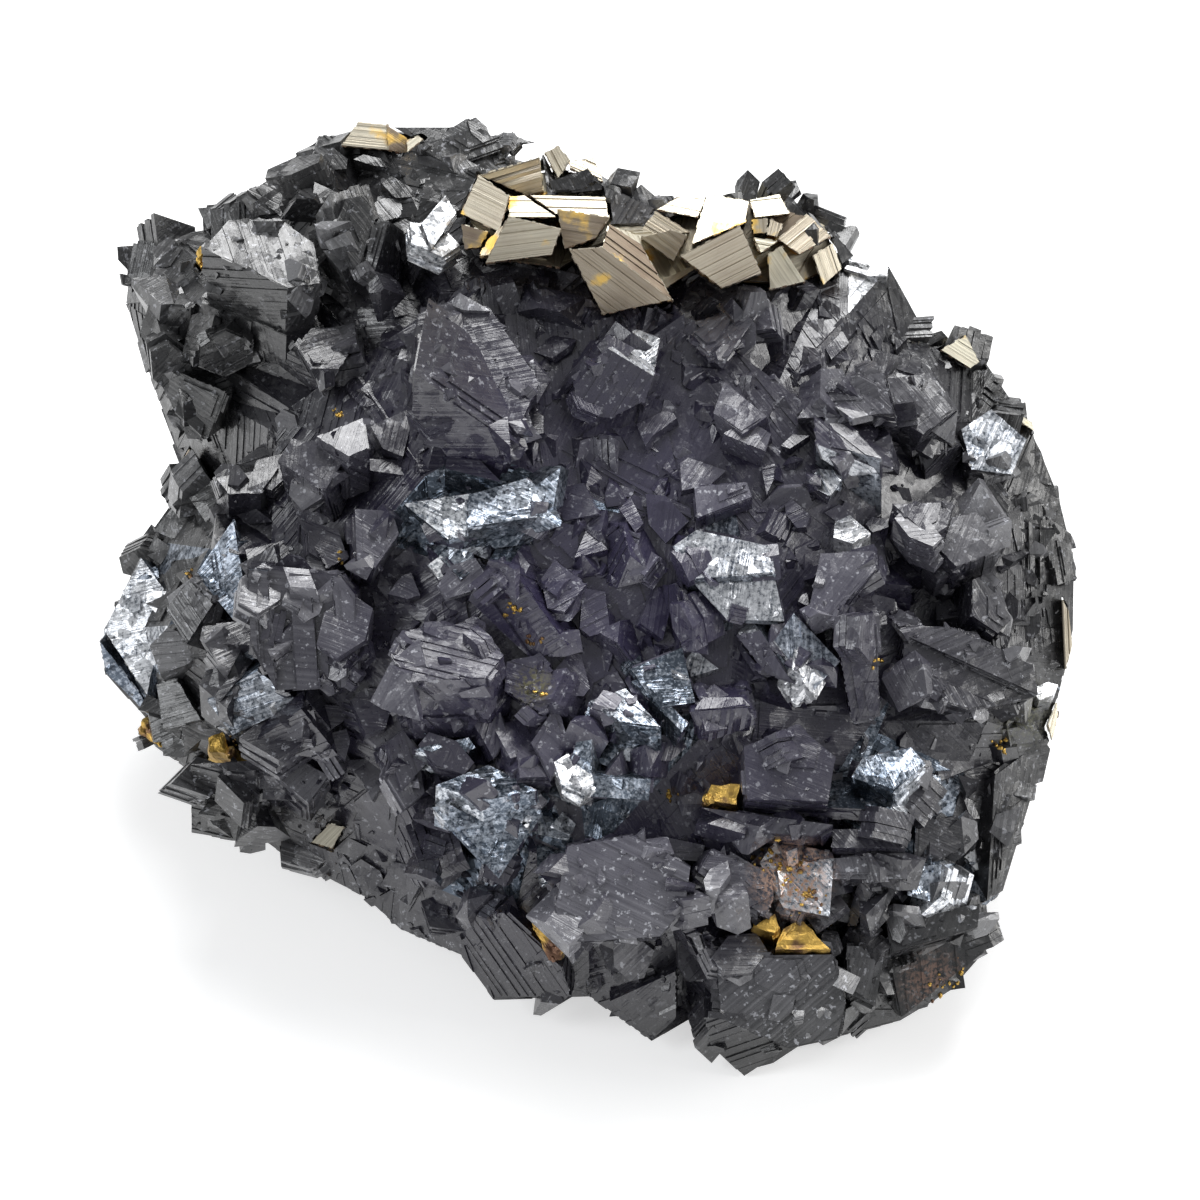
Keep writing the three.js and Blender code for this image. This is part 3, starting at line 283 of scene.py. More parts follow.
def laminated_block(shape, sides, layers):
    """A crystal built of thin plates with the same outline, each a little off the one below."""
    height = -0.7
    taper = chance.uniform(0.85, 1)
    for _ in range(layers):
        thickness = chance.uniform(0.9, 1.7) / layers
        radius = taper * chance.uniform(0.93, 1.05)
        turn = Matrix.Rotation(chance.gauss(0, 0.03), 4, "Z")
        set_off = Matrix.Translation((chance.gauss(0, 0.04), chance.gauss(0, 0.04), height))
        made = bmesh.ops.create_cone(
            shape, cap_ends=True, segments=sides, radius1=radius, radius2=radius * 0.99, depth=thickness,
            matrix=set_off @ turn,
        )["verts"]
        bmesh.ops.scale(shape, verts=made, vec=(1, 0.8, 1))
        height += 0.97 * thickness


def random_vector():
    return Vector((chance.gauss(0, 1), chance.gauss(0, 1), chance.gauss(0, 1)))


BLOCK_SHAPES, WEDGE_SHAPES, CUBE_SHAPES, SHARD_SHAPES = 8, 4, 3, 3
wedges_from = BLOCK_SHAPES
cubes_from = wedges_from + WEDGE_SHAPES
shards_from = cubes_from + CUBE_SHAPES
shapes = []
for index in range(shards_from + SHARD_SHAPES):
    shape = bmesh.new()
    if index < wedges_from:
        laminated_block(shape, 4 + index % 3, 4 + index % 4)
    elif index < cubes_from:
        bmesh.ops.create_cone(
            shape, cap_ends=True, segments=3, radius1=1.1, radius2=chance.uniform(0.6, 0.85), depth=1.2
        )
        cut_corner(shape, (0.5, 0, 0), Vector((1, 0, chance.uniform(0.1, 0.6))))
        cut_corner(shape, (-0.3, 0.35, 0), Vector((-0.6, 0.8, 0.3)))
        cut_corner(shape, (-0.3, -0.4, 0), Vector((-0.6, -0.8, 0.2)))
    elif index < shards_from:
        made = bmesh.ops.create_cube(shape, size=1.3)["verts"]
        bmesh.ops.scale(shape, verts=made, vec=(1.2, 0.9, 0.9))
        cut_corner(shape, (0.5, 0.3, 0), Vector((1, chance.uniform(0.3, 1), chance.uniform(-0.5, 0.8))))
        cut_corner(shape, (-0.5, 0, 0.1), Vector((-1, chance.uniform(-1, 0.2), 0.7)))
    else:
        for _ in range(9):
            shape.verts.new(random_vector().normalized() * chance.uniform(0.75, 1))
        hull = bmesh.ops.convex_hull(shape, input=shape.verts)
        loose = [part for part in hull["geom_interior"] if isinstance(part, bmesh.types.BMVert)]
        bmesh.ops.delete(shape, geom=loose, context="VERTS")
    shapes.append(new_shape(f"crystal_shape_{index}", shape))


SLENDER_EDGE = 46 * MM  # beyond this on either side crystals stay small, to keep the outline


def root_crystal(into, place, outward, size, tone, foil, grain):
    """Adds one small crystal that grows outward from a place on the mass."""
    mesh = chance.choice(shapes).copy()
    if abs(place.x) > SLENDER_EDGE:
        size = min(size, 1 * MM)
    lean = random_vector() * 0.3
    turn = (outward + lean).to_track_quat("Z", "Y").to_matrix().to_4x4()
    spin = Matrix.Rotation(chance.uniform(0, math.tau), 4, "Z")
    stretch = Matrix.Diagonal((size, size * chance.uniform(0.6, 1), size * chance.uniform(0.6, 1.1), 1))
    mesh.transform(Matrix.Translation(place) @ turn @ spin @ stretch)
    count = len(mesh.polygons)
    mesh.attributes["tone"].data.foreach_set("value", [tone] * count)
    mesh.attributes["foil"].data.foreach_set("value", [foil] * count)
    mesh.attributes["grain"].data.foreach_set("vector", list(grain) * count)
    into.from_mesh(mesh)
    bpy.data.meshes.remove(mesh)


def finish_piece(name, shape):
    mesh = bpy.data.meshes.new(name)
    shape.to_mesh(mesh)
    shape.free()
    piece = bpy.data.objects.new(name, mesh)
    bpy.context.scene.collection.objects.link(piece)
    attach(piece, "root")
    return piece


# Single small crystals of the display face: lean to the right, lean upwards, corners.
SMALL_CRYSTALS = [
    (0, 0.3, [(-27, 44.2), (-25.8, 45.4), (-24.3, 44.2), (-24.4, 43.2), (-26.3, 43.1)]),
    (-0.3, 0.7, [(-26.6, 34.8), (-25.6, 34.9), (-24, 33.2), (-24.6, 32.5)]),
    (0.1, 0.3, [(-26.5, 32), (-25.6, 32), (-24, 30.8), (-25.5, 30.7)]),
    (0.1, 0.5, [(-6.8, 30), (-6, 32.3), (-4, 32), (-4.5, 29.8)]),
    (-0.4, 0.3, [(-44, 7), (-42.2, 9.3), (-40.5, 9.2), (-39.9, 6.5), (-42.2, 6.2)]),
    (-0.5, 0.3, [(-44.7, 4.5), (-44, 6.5), (-42.2, 5.3), (-43.3, 3.6)]),
    (-0.4, -0.1, [(-43.4, -12.9), (-40.3, -13), (-39.8, -14.8), (-41.2, -15.9), (-43, -15.7)]),
    (0.2, 0.2, [(-27.5, -11.2), (-26.3, -10.4), (-24.6, -10.5), (-23.9, -11.6), (-26, -13.1)]),
    (0.1, 0.3, [(-26, -13.3), (-24.2, -12.8), (-23.8, -14), (-24.3, -15.9), (-25.5, -14.9)]),
    (0, 0.3, [(-20, 0.6), (-18.6, 2.4), (-17.7, 2.7), (-16.8, 0.5), (-18, 0.1)]),
    (0, 0.5, [(-1.5, 4.2), (-0.2, 7.3), (1.8, 5)]),
    (0, 0.5, [(-10, 17.2), (-8.1, 18.1), (-7.8, 15.1)]),
    (0.1, 0.5, [(-7.7, 17.6), (-5.7, 18.9), (-4.6, 18.2), (-4.6, 16.5), (-7.3, 16.2)]),
    (0, 0.6, [(-22, 14), (-17.9, 13.8), (-18, 12.3), (-22.3, 12.9)]),
    (-0.2, 0.6, [(4.6, 17.4), (7.9, 19), (8.6, 18), (6.2, 16.2), (5.5, 15.2)]),
    (0.1, 0.5, [(17, 13), (18.3, 13.5), (18.2, 12), (17.5, 10.4)]),
    (0, 0.6, [(18.9, 15.3), (20.1, 16.4), (21.8, 16.3), (19.8, 15)]),
    (-0.1, 0.3, [(19.3, 9.5), (20, 10), (21.8, 8.4), (21.4, 7.2), (20.5, 7.1), (19.4, 8.5)]),
    (0, 0.4, [(2.9, 9), (4, 10.2), (5.3, 7.6), (4.5, 6.7)]),
    (-0.3, 0.5, [(14, -3.9), (14.4, -3.7), (16.9, -7), (16.1, -7)]),
    (0, 0.4, [(9.4, -6), (10.3, -4.9), (12.7, -6.8), (10, -7.6)]),
    (0.3, 0.2, [(6.3, -15.8), (7, -13.4), (8.2, -13), (9.5, -14.6), (8, -15.9)]),
    (0, 0.6, [(18.5, -9.6), (21.5, -9.5), (20.3, -8.2), (19, -9)]),
    (0.1, 0.3, [(-3.4, -6.8), (-2.2, -5.5), (-0.9, -5.3), (0, -8.7), (-0.6, -9.5), (-2.4, -9.4)]),
    (0.1, 0.4, [(-4, -22.5), (-2.7, -21), (-1.4, -22.2), (-2, -23.3)]),
    (0, 0.4, [(-14.8, -25.6), (-13.8, -23.4), (-12.8, -24.6), (-13.1, -25.6)]),
    (0, 0.7, [(25.5, 33.2), (26.3, 34.2), (29.8, 33.5), (29.7, 32.4), (28, 32.4)]),
    (0.1, 0.6, [(27.3, 7.5), (28, 8.2), (29.5, 8), (29.6, 7.2), (28, 6.7)]),
    (0.1, 0.5, [(33.1, 3.4), (34.3, 3.4), (36, 2.7), (34.5, 2.1)]),
    (0, 0.7, [(34.5, 1.2), (35.9, 0), (37.2, -1.6), (34.5, -2)]),
    (0, -0.5, [(30, 7.8), (32.5, 7.5), (33.2, 6), (32.4, 4.3), (30, 6)]),
    (0.2, 0.7, [(44.1, -8.9), (45.8, -8.2), (46.8, -8.5), (46.3, -9.5), (44.9, -10)]),
    (0.1, 0.5, [(36.7, -17.4), (38.8, -18), (37.5, -19.3)]),
    (0.5, 0.2, [(37.2, -19.6), (38.2, -20), (38.9, -21.8), (38, -21.8)]),
    (0, 0.2, [(-35.6, 40.6), (-34.2, 40.9), (-31.9, 38.2), (-33.8, 37.9), (-35.9, 38.2)]),
    (0, 0.4, [(-19.8, 37.4), (-18.5, 38), (-16.9, 37.3), (-17.3, 35.5), (-19.9, 34)]),
    (0.1, 0.6, [(-22.3, 39.3), (-20.6, 40.2), (-17.6, 39.9), (-19.2, 38.2), (-21.6, 37.7)]),
    (0, 0.4, [(-20.9, 41.7), (-19.8, 42.4), (-16.6, 40.4), (-19.4, 40.2)]),
    (-0.1, 0.6, [(-23.7, 44.2), (-22.7, 44.7), (-18.4, 43.6), (-19.3, 43.2), (-21.8, 43.6)]),
    (0.2, -0.4, [(-9.8, 31), (-7.5, 31.5), (-6.8, 29.5), (-8, 27)]),
    (-0.2, 0.3, [(-35.5, 13.6), (-32.5, 15.8), (-31, 13.4)]),
    (0.1, 0.5, [(-21.7, 17.2), (-17.9, 19), (-17.6, 18), (-18.5, 14.2), (-20.5, 15)]),
    (0, 0.4, [(-34.7, 8.5), (-33.4, 9.9), (-31.2, 9.5), (-30.2, 7.5), (-31.5, 6), (-34.5, 6)]),
    (0, 0.6, [(-34.3, 5), (-29.5, 6.1), (-29, 5.2), (-31.7, 2.9), (-34, 3.9)]),
    (-0.2, 0.4, [(-44.2, -4.6), (-42.4, -2.8), (-39, -4), (-38.8, -5.3), (-40.6, -6.6), (-43.1, -7.4)]),
    (
        0.1, 0.2,
        [(-23.7, -9.9), (-22.3, -8.7), (-20.2, -8.9), (-19.8, -11), (-20.3, -12.8), (-22.2, -13.3)],
    ),
    (-0.1, 0.1, [(-24.4, -16), (-22, -15.8), (-20.2, -17.5), (-21.7, -20), (-22.6, -18.2)]),
    (0.1, 0.2, [(-0.7, 1.2), (1.5, 0.8), (2, -3), (0, -3.6), (-1, -2.8)]),
    (0.1, 0.4, [(13.2, 16.4), (15.5, 17.9), (17.9, 16.4), (17.3, 14.7), (15.5, 15.4)]),
    (0.1, 0.4, [(8.9, 13.5), (9.7, 14.1), (13.5, 12.8), (12, 11.5), (9.1, 10.8)]),
    (0, 0.1, [(5.5, 10.5), (7.5, 10.3), (9.8, 7.8), (7.5, 5.6), (5.8, 7.5)]),
    (0.3, 0.2, [(6.4, 1.4), (8.3, 0.8), (7.7, -2), (7.2, -3.9), (5, -2.3), (5.6, -0.5)]),
    (0, 0.8, [(10.3, -10.8), (11.2, -9.6), (15, -9.6), (15.8, -10.4)]),
    (0, 0.7, [(24.1, 6.2), (24.5, 9.7), (26, 8.2), (27.8, 6.6), (26, 5.6)]),
    (0, 0.6, [(28.6, 1.9), (29, 3.6), (30.6, 4.9), (33.3, 2.6), (30.5, 1.8)]),
    (0.2, 0.2, [(32, -16.8), (34.8, -17.5), (35, -21), (32.5, -22), (31, -19.5)]),
    (0, -0.3, [(22.5, -28.2), (26, -28.3), (25.5, -31.5), (24, -32.2), (22.8, -30.5)]),
    (0, 0.1, [(6.6, -23.3), (11.4, -24.3), (10.9, -25.9), (6.8, -25.5)]),
    (-0.1, -0.4, [(2.3, -34), (5.3, -34), (6.4, -34.9), (5.4, -37.6), (4, -38), (2.4, -36.5)]),
    (0.1, 0, [(8.8, -33.9), (10.9, -33.5), (11.9, -37.6), (9.9, -38), (8.8, -36.4)]),
]


def stand_crystal(into, lean_u, lean_v, corners):
    """A small straight crystal with the given outer face, standing a little proud of the mass."""
    middle_u = sum(u for u, v in corners) / len(corners)
    middle_v = sum(v for u, v in corners) / len(corners)
    hit = surface.ray_cast(on_display(middle_u, middle_v, ABOVE), -OUTWARD)[0]
    level = (hit - PLANE_MIDDLE).dot(OUTWARD) / MM + chance.uniform(0.8, 1.6)
    tone, foil = look_at(middle_u, middle_v)
    tone = min(max(tone + chance.gauss(0, 0.12), 0), 1)
    shape = bmesh.new()
    verts = [
        shape.verts.new(on_display(u, v, level - lean_u * (u - middle_u) - lean_v * (v - middle_v)))
        for u, v in corners
    ]
    face = shape.faces.new(verts)
    face.normal_update()
    if face.normal.dot(OUTWARD) < 0:
        face.normal_flip()
    inward = face.normal * 4 * MM
    made = bmesh.ops.extrude_face_region(shape, geom=[face], use_keep_orig=True)["geom"]
    foot = [part for part in made if isinstance(part, bmesh.types.BMVert)]
    bmesh.ops.translate(shape, verts=foot, vec=-inward)
    bmesh.ops.recalc_face_normals(shape, faces=shape.faces)
    layers = (
        shape.faces.layers.float.new("tone"),
        shape.faces.layers.float.new("foil"),
        shape.faces.layers.float_vector.new("grain"),
    )
    for side in shape.faces:
        for layer, value in zip(layers, (tone, foil, grain_at(hit))):
            side[layer] = value
    extra = bmesh.new()
    if shape.faces and chance.random() < 0.6:
        front = max(shape.faces, key=lambda side: side.normal.dot(OUTWARD))
        ridge_face(front, layers, extra, chance.uniform(0.3, 0.6) * MM, 0.1 * MM, 0.1 * MM)
    add_patch(shape, into)
    add_patch(extra, into)


druse = bmesh.new()
for crystal in SMALL_CRYSTALS:
    stand_crystal(druse, *crystal)

FEATURES = [place for places in (SILVER, FOIL, PALE, DARK) for place in places]


def on_feature(u, v):
    return any(math.hypot(u - pu, v - pv) < 0.8 * reach for pu, pv, reach in FEATURES)


# Blocks one to four millimetres across that fill the display face between the named crystals.
BLOCKS = 1000
SPARED_BY_BLOCKS = 0.93  # share of the blocks left out where a named crystal shows
FOOT = 4 * MM  # no blocks below this, where the stone is broken
blocks = 0
while blocks < BLOCKS:
    u, v = chance.uniform(-49, 49), chance.uniform(-48, 48)
    hit, normal, _, _ = surface.ray_cast(on_display(u, v, ABOVE), -OUTWARD)
    if hit is None or hit.z < FOOT:
        continue
    blocks += 1
    facing = normal.dot(OUTWARD)
    if facing < 0.1 or (on_feature(u, v) and chance.random() < SPARED_BY_BLOCKS):
        continue
    tone, foil = look_at(u, v)
    # Painted shade and painted light: the tone is lowered in hollows and raised on rises, and set above
    # that of the mass below so the gaps round the blocks look dark.
    tone = min(max(tone + 0.1 + shade_at(hit) + chance.gauss(0, 0.18), 0), 1)
    outward = (0.6 * normal + 0.4 * OUTWARD + 0.6 * grain_at(hit)).normalized()
    size = (1.4 + 2.5 * chance.random() ** 1.5) * min(0.65 + facing, 1) * MM
    root_crystal(druse, hit - outward * 0.5 * size, outward, size, tone, foil, grain_at(hit))

# The finest crystals of the display face, about a millimetre and less.
FRONT_CRYSTALS = 1400
SPARED_BY_FINE = 0.88
grown = 0
while grown < FRONT_CRYSTALS:
    u, v = chance.uniform(-50, 50), chance.uniform(-49, 49)
    hit, normal, _, _ = surface.ray_cast(on_display(u, v, ABOVE), -OUTWARD)
    if hit is None or hit.z < 3 * MM:
        continue
    grown += 1
    tone, foil = look_at(u, v)
    if on_feature(u, v) and chance.random() < SPARED_BY_FINE:
        continue
    size = (0.3 + 0.9 * chance.random() ** 3) * MM
    # Painted shade and painted light: the tone is lowered in hollows and raised on rises, and set a
    # little above that of the mass below so the gaps look dark.
    tone = min(max(tone + 0.05 + shade_at(hit) + chance.gauss(0, 0.2), 0), 1)
    outward = (normal + 0.5 * grain_at(hit)).normalized()
    foil *= chance.choice((0, 1))
    root_crystal(druse, hit - outward * 0.25 * size, outward, size, tone, foil, grain_at(hit))

# Dark crystals that stand up in the crevice behind the pyrite, as u, v and size in mm. Their fixed low
# tone is partly the blende's own dark colour and partly painted shade of that crevice. Each grows from
# the point of the mass or the pyrite that is nearest to its place.
BEHIND_PYRITE = [
    (14, 39.8, 2), (16, 41, 2.2), (18.3, 41.3, 2.4), (20.3, 41, 2.3), (22.3, 40, 2.5), (24.2, 38.6, 2.3),
    (19.3, 38.8, 3), (22.6, 37, 3), (-1.6, 41, 2.2), (0.6, 41.4, 2.2), (3, 41, 2.3), (5, 39.8, 2.2),
    (26, 36.5, 2.2),
]
CREVICE = 2  # mm that their places lie behind what stands before them
carriers = bmesh.new()
carriers.from_mesh(mass_mesh)
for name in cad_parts:
    if name.startswith("pyrite"):
        carriers.from_mesh(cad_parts[name].data)
carried_by = BVHTree.FromBMesh(carriers)
carriers.free()
for u, v, size in BEHIND_PYRITE:
    foot_v = v
    hit = None
    while hit is None:
        foot_v -= 0.5
        hit = carried_by.ray_cast(on_display(u, foot_v, ABOVE), -OUTWARD)[0]
    level = (hit - PLANE_MIDDLE).dot(OUTWARD) / MM - CREVICE
    wanted = on_display(u, v, level)
    foot = carried_by.find_nearest(wanted)[0]
    outward = (wanted - foot).normalized()
    # The fixed tone 0.1 is partly painted shade of the crevice behind the pyrite.
    root_crystal(druse, foot + outward * 0.4 * size * MM, outward, size * MM, 0.1, 0, grain_at(foot))

# The back and the sides carry crystals of the same kinds, none of them bright.
BACK_CRYSTALS = 1100
BACK_SLENDER_EDGE = 45 * MM
sides = [side for side in mass_sides if side[0].z > FOOT and side[1].dot(OUTWARD) < 0.3]
areas = [side[2] for side in sides]
for centre, normal, _ in chance.choices(sides, areas, k=BACK_CRYSTALS):
    start = centre + random_vector() * 2.5 * MM + normal * 8 * MM
    hit, hit_normal, _, _ = surface.ray_cast(start, -normal)
    if hit is None or hit.z < FOOT:
        continue
    size = (0.8 + 3.2 * chance.random() ** 2) * MM
    if abs(hit.x) > BACK_SLENDER_EDGE:
        size = min(size, 1.1 * MM)
    outward = (hit_normal + 0.4 * grain_at(hit)).normalized()
    tone = min(max(chance.gauss(0.38, 0.14), 0), 1)
    root_crystal(druse, hit - outward * 0.35 * size, outward, size, tone, 0, grain_at(hit))


def separate_bodies(shape):
    """Says for each face which body of the mesh it belongs to."""
    body_of = {}
    for face in shape.faces:
        if face.index in body_of:
            continue
        number = len(body_of)
        waiting = [face]
        body_of[face.index] = number
        while waiting:
            for edge in waiting.pop().edges:
                for beside in edge.link_faces:
                    if beside.index not in body_of:
                        body_of[beside.index] = number
                        waiting.append(beside)
    return body_of


# Plates that meet neither the stone nor a crystal grown on it have fallen off: they are left out.
druse.faces.index_update()
body_of = separate_bodies(druse)
plates = BVHTree.FromBMesh(druse)
touching = {}
for one, other in plates.overlap(plates):
    if body_of[one] != body_of[other]:
        touching.setdefault(body_of[one], set()).add(body_of[other])
held = {body_of[one] for one, _ in plates.overlap(carried_by)}
waiting = list(held)
while waiting:
    for beside in touching.get(waiting.pop(), ()):
        if beside not in held:
            held.add(beside)
            waiting.append(beside)
fallen = [face for face in druse.faces if body_of[face.index] not in held]
bmesh.ops.delete(druse, geom=fallen, context="FACES")
covered = druse.copy()
covered.from_mesh(mass_mesh)
everything = BVHTree.FromBMesh(covered)
covered.free()
druse_piece = finish_piece("sphalerite_druse", druse)

# Zinc blende: nearly black, with a strong glassy lustre, violet in the middle of the face and
# neutral round it. Split faces are pale, with fine parallel lines across them.
def add_node(kind, inputs=None, **settings):
    node = nodes.new(kind)
    for key, value in settings.items():
        setattr(node, key, value)
    for key, value in (inputs or {}).items():
        if isinstance(value, bpy.types.NodeSocket):
            links.new(value, node.inputs[key])
        else:
            node.inputs[key].default_value = value
    return node


def value_of(operation, a, b=0.0, c=0.0, clamp=False):
    return add_node("ShaderNodeMath", {0: a, 1: b, 2: c}, operation=operation, use_clamp=clamp).outputs[0]


def vector_of(operation, a, b):
    node = add_node("ShaderNodeVectorMath", {0: a, 1: b}, operation=operation)
    return node.outputs["Value" if operation in ("DISTANCE", "DOT_PRODUCT") else "Vector"]


def blend_of(share, a, b):
    mixed = add_node("ShaderNodeMix", {0: share, 6: a, 7: b}, data_type="RGBA")
    return mixed.outputs[2]


def range_of(value, low, high):
    """0 where the value is low, 1 where it is high."""
    return add_node("ShaderNodeMapRange", {0: value, 1: low, 2: high}).outputs[0]


def cloud(scale, detail, roughness=0.5):
    """Cloudy noise over the place, from about 0.3 to 0.7."""
    values = {"Vector": place, "Scale": scale, "Detail": detail, "Roughness": roughness}
    return add_node("ShaderNodeTexNoise", values).outputs["Fac"]


# Growth lines: bands along each crystal's own grain, shared by the blende and the pyrite.
growth_lines = bpy.data.node_groups.new("growth_lines", "ShaderNodeTree")
for socket in ("Scale", "Detail", "Roughness"):
    growth_lines.interface.new_socket(socket, in_out="INPUT", socket_type="NodeSocketFloat")
growth_lines.interface.new_socket("Lines", in_out="OUTPUT", socket_type="NodeSocketFloat")
nodes, links = growth_lines.nodes, growth_lines.links
given = add_node("NodeGroupInput").outputs
place = add_node("ShaderNodeTexCoord").outputs["Object"]
grain = add_node("ShaderNodeAttribute", attribute_name="grain").outputs["Vector"]
along = vector_of("DOT_PRODUCT", place, grain)
bands = add_node(
    "ShaderNodeTexNoise",
    {"W": along, "Scale": given["Scale"], "Detail": given["Detail"], "Roughness": given["Roughness"]},
    noise_dimensions="1D",
)
add_node("NodeGroupOutput", {"Lines": bands.outputs["Fac"]})

blende = bpy.data.materials.new("zinc_blende")
blende.use_nodes = True
nodes, links = blende.node_tree.nodes, blende.node_tree.links
shader = nodes["Principled BSDF"]
place = add_node("ShaderNodeTexCoord").outputs["Object"]
tone = add_node("ShaderNodeAttribute", attribute_name="tone").outputs["Fac"]
foil = add_node("ShaderNodeAttribute", attribute_name="foil").outputs["Fac"]
lines = add_node(
    "ShaderNodeGroup", {"Scale": 2600, "Detail": 3, "Roughness": 0.6}, node_tree=growth_lines
).outputs["Lines"]
patches = cloud(190, 2)
grit = cloud(2600, 2, 0.7)
chips = add_node("ShaderNodeTexVoronoi", {"Vector": place, "Scale": 900, "Randomness": 1}, feature="F1")
middle = vector_of("DISTANCE", place, tuple(on_display(2, -2, 10)))
violet = range_of(middle, 0.045, 0.012)
speckle = value_of("MULTIPLY_ADD", lines, 0.5, value_of("MULTIPLY", patches, 0.5))
light = value_of("MULTIPLY_ADD", speckle, 1.3, value_of("ADD", tone, -0.66), clamp=True)
ramp = add_node("ShaderNodeValToRGB", {0: light})
ramp.color_ramp.elements[0].color = (0.006, 0.006, 0.007, 1)
ramp.color_ramp.elements[1].color = (0.15, 0.15, 0.157, 1)
ramp.color_ramp.elements.new(0.45).color = (0.028, 0.028, 0.029, 1)
tinted = blend_of(violet, ramp.outputs[0], blend_of(0.5, ramp.outputs[0], (0.05, 0.042, 0.1, 1)))
# Split faces: silver where they are scratched and burnished, blue-grey between.
scratches = value_of("MULTIPLY_ADD", grit, 0.6, value_of("MULTIPLY", patches, 0.3))
scratches = value_of("MULTIPLY_ADD", lines, 0.27, scratches)
least = value_of("MULTIPLY_ADD", tone, -0.3, 0.72)
most = value_of("ADD", least, 0.2)
sparks = range_of(scratches, least, most)
mirror = range_of(tone, 0.7, 1.0)
silver = blend_of(mirror, (0.52, 0.57, 0.65, 1), (0.97, 0.98, 1, 1))
foil_colour = blend_of(sparks, (0.08, 0.1, 0.13, 1), silver)
# Tiny painted glints: pale grey specks painted into the base colour, more of them on pale crystals.
painted_glint_noise = cloud(1500, 2, 0.7)
painted_glint = range_of(painted_glint_noise, 0.61, 0.67)
painted_glint = value_of("MULTIPLY", painted_glint, value_of("MULTIPLY_ADD", tone, 0.5, 0.1))
colour = blend_of(painted_glint, blend_of(foil, tinted, foil_colour), (0.6, 0.61, 0.66, 1))
# Weathered spots as u, v, reach in mm and colour: brown at the right foot, olive on the right,
# copper where the sulphides cluster in front, olive under the middle.
broken = range_of(grit, 0.44, 0.58)
for u, v, reach, stain in (
    (34, -38, 4, (0.16, 0.095, 0.07, 1)), (43, -11, 4.5, (0.1, 0.1, 0.06, 1)),
    (20, -27.5, 5, (0.42, 0.25, 0.17, 1)), (-5.6, -8.5, 2.5, (0.12, 0.11, 0.05, 1)),
):
    spot = surface.ray_cast(on_display(u, v, ABOVE), -OUTWARD)[0]
    away = vector_of("DISTANCE", place, tuple(spot))
    near = range_of(away, reach * MM, 0.3 * reach * MM)
    colour = blend_of(value_of("MULTIPLY", near, broken), colour, stain)
links.new(colour, shader.inputs["Base Color"])
links.new(value_of("MULTIPLY", foil, 0.85), shader.inputs["Metallic"])
# Faces are broken into flakes about a millimetre across that lean a little differently.
flakes = add_node("ShaderNodeTexVoronoi", {"Vector": place, "Scale": 520, "Randomness": 1}, feature="F1")
flake_tilt = vector_of("SUBTRACT", flakes.outputs["Color"], (0.5, 0.5, 0.5))
chip_tilt = vector_of("SUBTRACT", chips.outputs["Color"], (0.5, 0.5, 0.5))
tilted = add_node("ShaderNodeVectorMath", {0: vector_of("ADD", flake_tilt, chip_tilt)}, operation="SCALE")
links.new(value_of("MULTIPLY_ADD", foil, 0.35, 0.16), tilted.inputs["Scale"])
level = add_node("ShaderNodeNewGeometry").outputs["Normal"]
faceted = vector_of("ADD", level, tilted.outputs[0])
faceted = add_node("ShaderNodeVectorMath", {0: faceted}, operation="NORMALIZE").outputs[0]
links.new(value_of("MULTIPLY_ADD", grit, 0.3, 0.16), shader.inputs["Roughness"])
shader.inputs["IOR"].default_value = 1.75
height = value_of("MULTIPLY_ADD", grit, 0.35, lines)
bump = add_node(
    "ShaderNodeBump", {"Height": height, "Strength": 0.55, "Distance": 0.12 * MM, "Normal": faceted}
)
links.new(bump.outputs[0], shader.inputs["Normal"])
for piece in (mass_piece, druse_piece):
    piece.data.materials.clear()
    piece.data.materials.append(blende)

# Pyrite cubes on the top ridge and the rim: pale brassy metal, each face ruled with fine growth
# lines that turn by a right angle from face to face. They are copies of the solids with real ridges.
pyrite = bpy.data.materials.new("pyrite")
pyrite.use_nodes = True
nodes, links = pyrite.node_tree.nodes, pyrite.node_tree.links
shader = nodes["Principled BSDF"]
place = add_node("ShaderNodeTexCoord").outputs["Object"]
tone = add_node("ShaderNodeAttribute", attribute_name="tone").outputs["Fac"]
lines = add_node(
    "ShaderNodeGroup", {"Scale": 3000, "Detail": 4, "Roughness": 0.65}, node_tree=growth_lines
).outputs["Lines"]
# Cloudy noise for tarnish stains, also used to place the painted gold glints below.
stain = cloud(260, 5)
# Share of pale brass: from the stain noise, and from the tone, which holds painted light on faces that
# look up and painted shade on faces that look down. The lines are darker where the tone is low.
pale_share_stain_and_painted_light = value_of("MULTIPLY_ADD", stain, 0.5, value_of("ADD", tone, -0.25), clamp=True)
colour = blend_of(pale_share_stain_and_painted_light, (0.13, 0.075, 0.05, 1), (0.74, 0.7, 0.57, 1))
ruled = range_of(lines, 0.47, 0.62)
inked = value_of("MULTIPLY_ADD", tone, -0.6, 0.85)
colour = blend_of(value_of("MULTIPLY", ruled, inked), colour, (0.27, 0.22, 0.15, 1))
# Painted glints: thin spots of deep gold painted into the base colour where the stain noise is high.
painted_gold_glint = range_of(stain, 0.6, 0.68)
links.new(blend_of(painted_gold_glint, colour, (0.75, 0.5, 0.14, 1)), shader.inputs["Base Color"])
shader.inputs["Metallic"].default_value = 0.75
links.new(value_of("MULTIPLY_ADD", stain, 0.3, 0.22), shader.inputs["Roughness"])
bump = add_node("ShaderNodeBump", {"Height": lines, "Strength": 0.6, "Distance": 0.08 * MM})
links.new(bump.outputs[0], shader.inputs["Normal"])

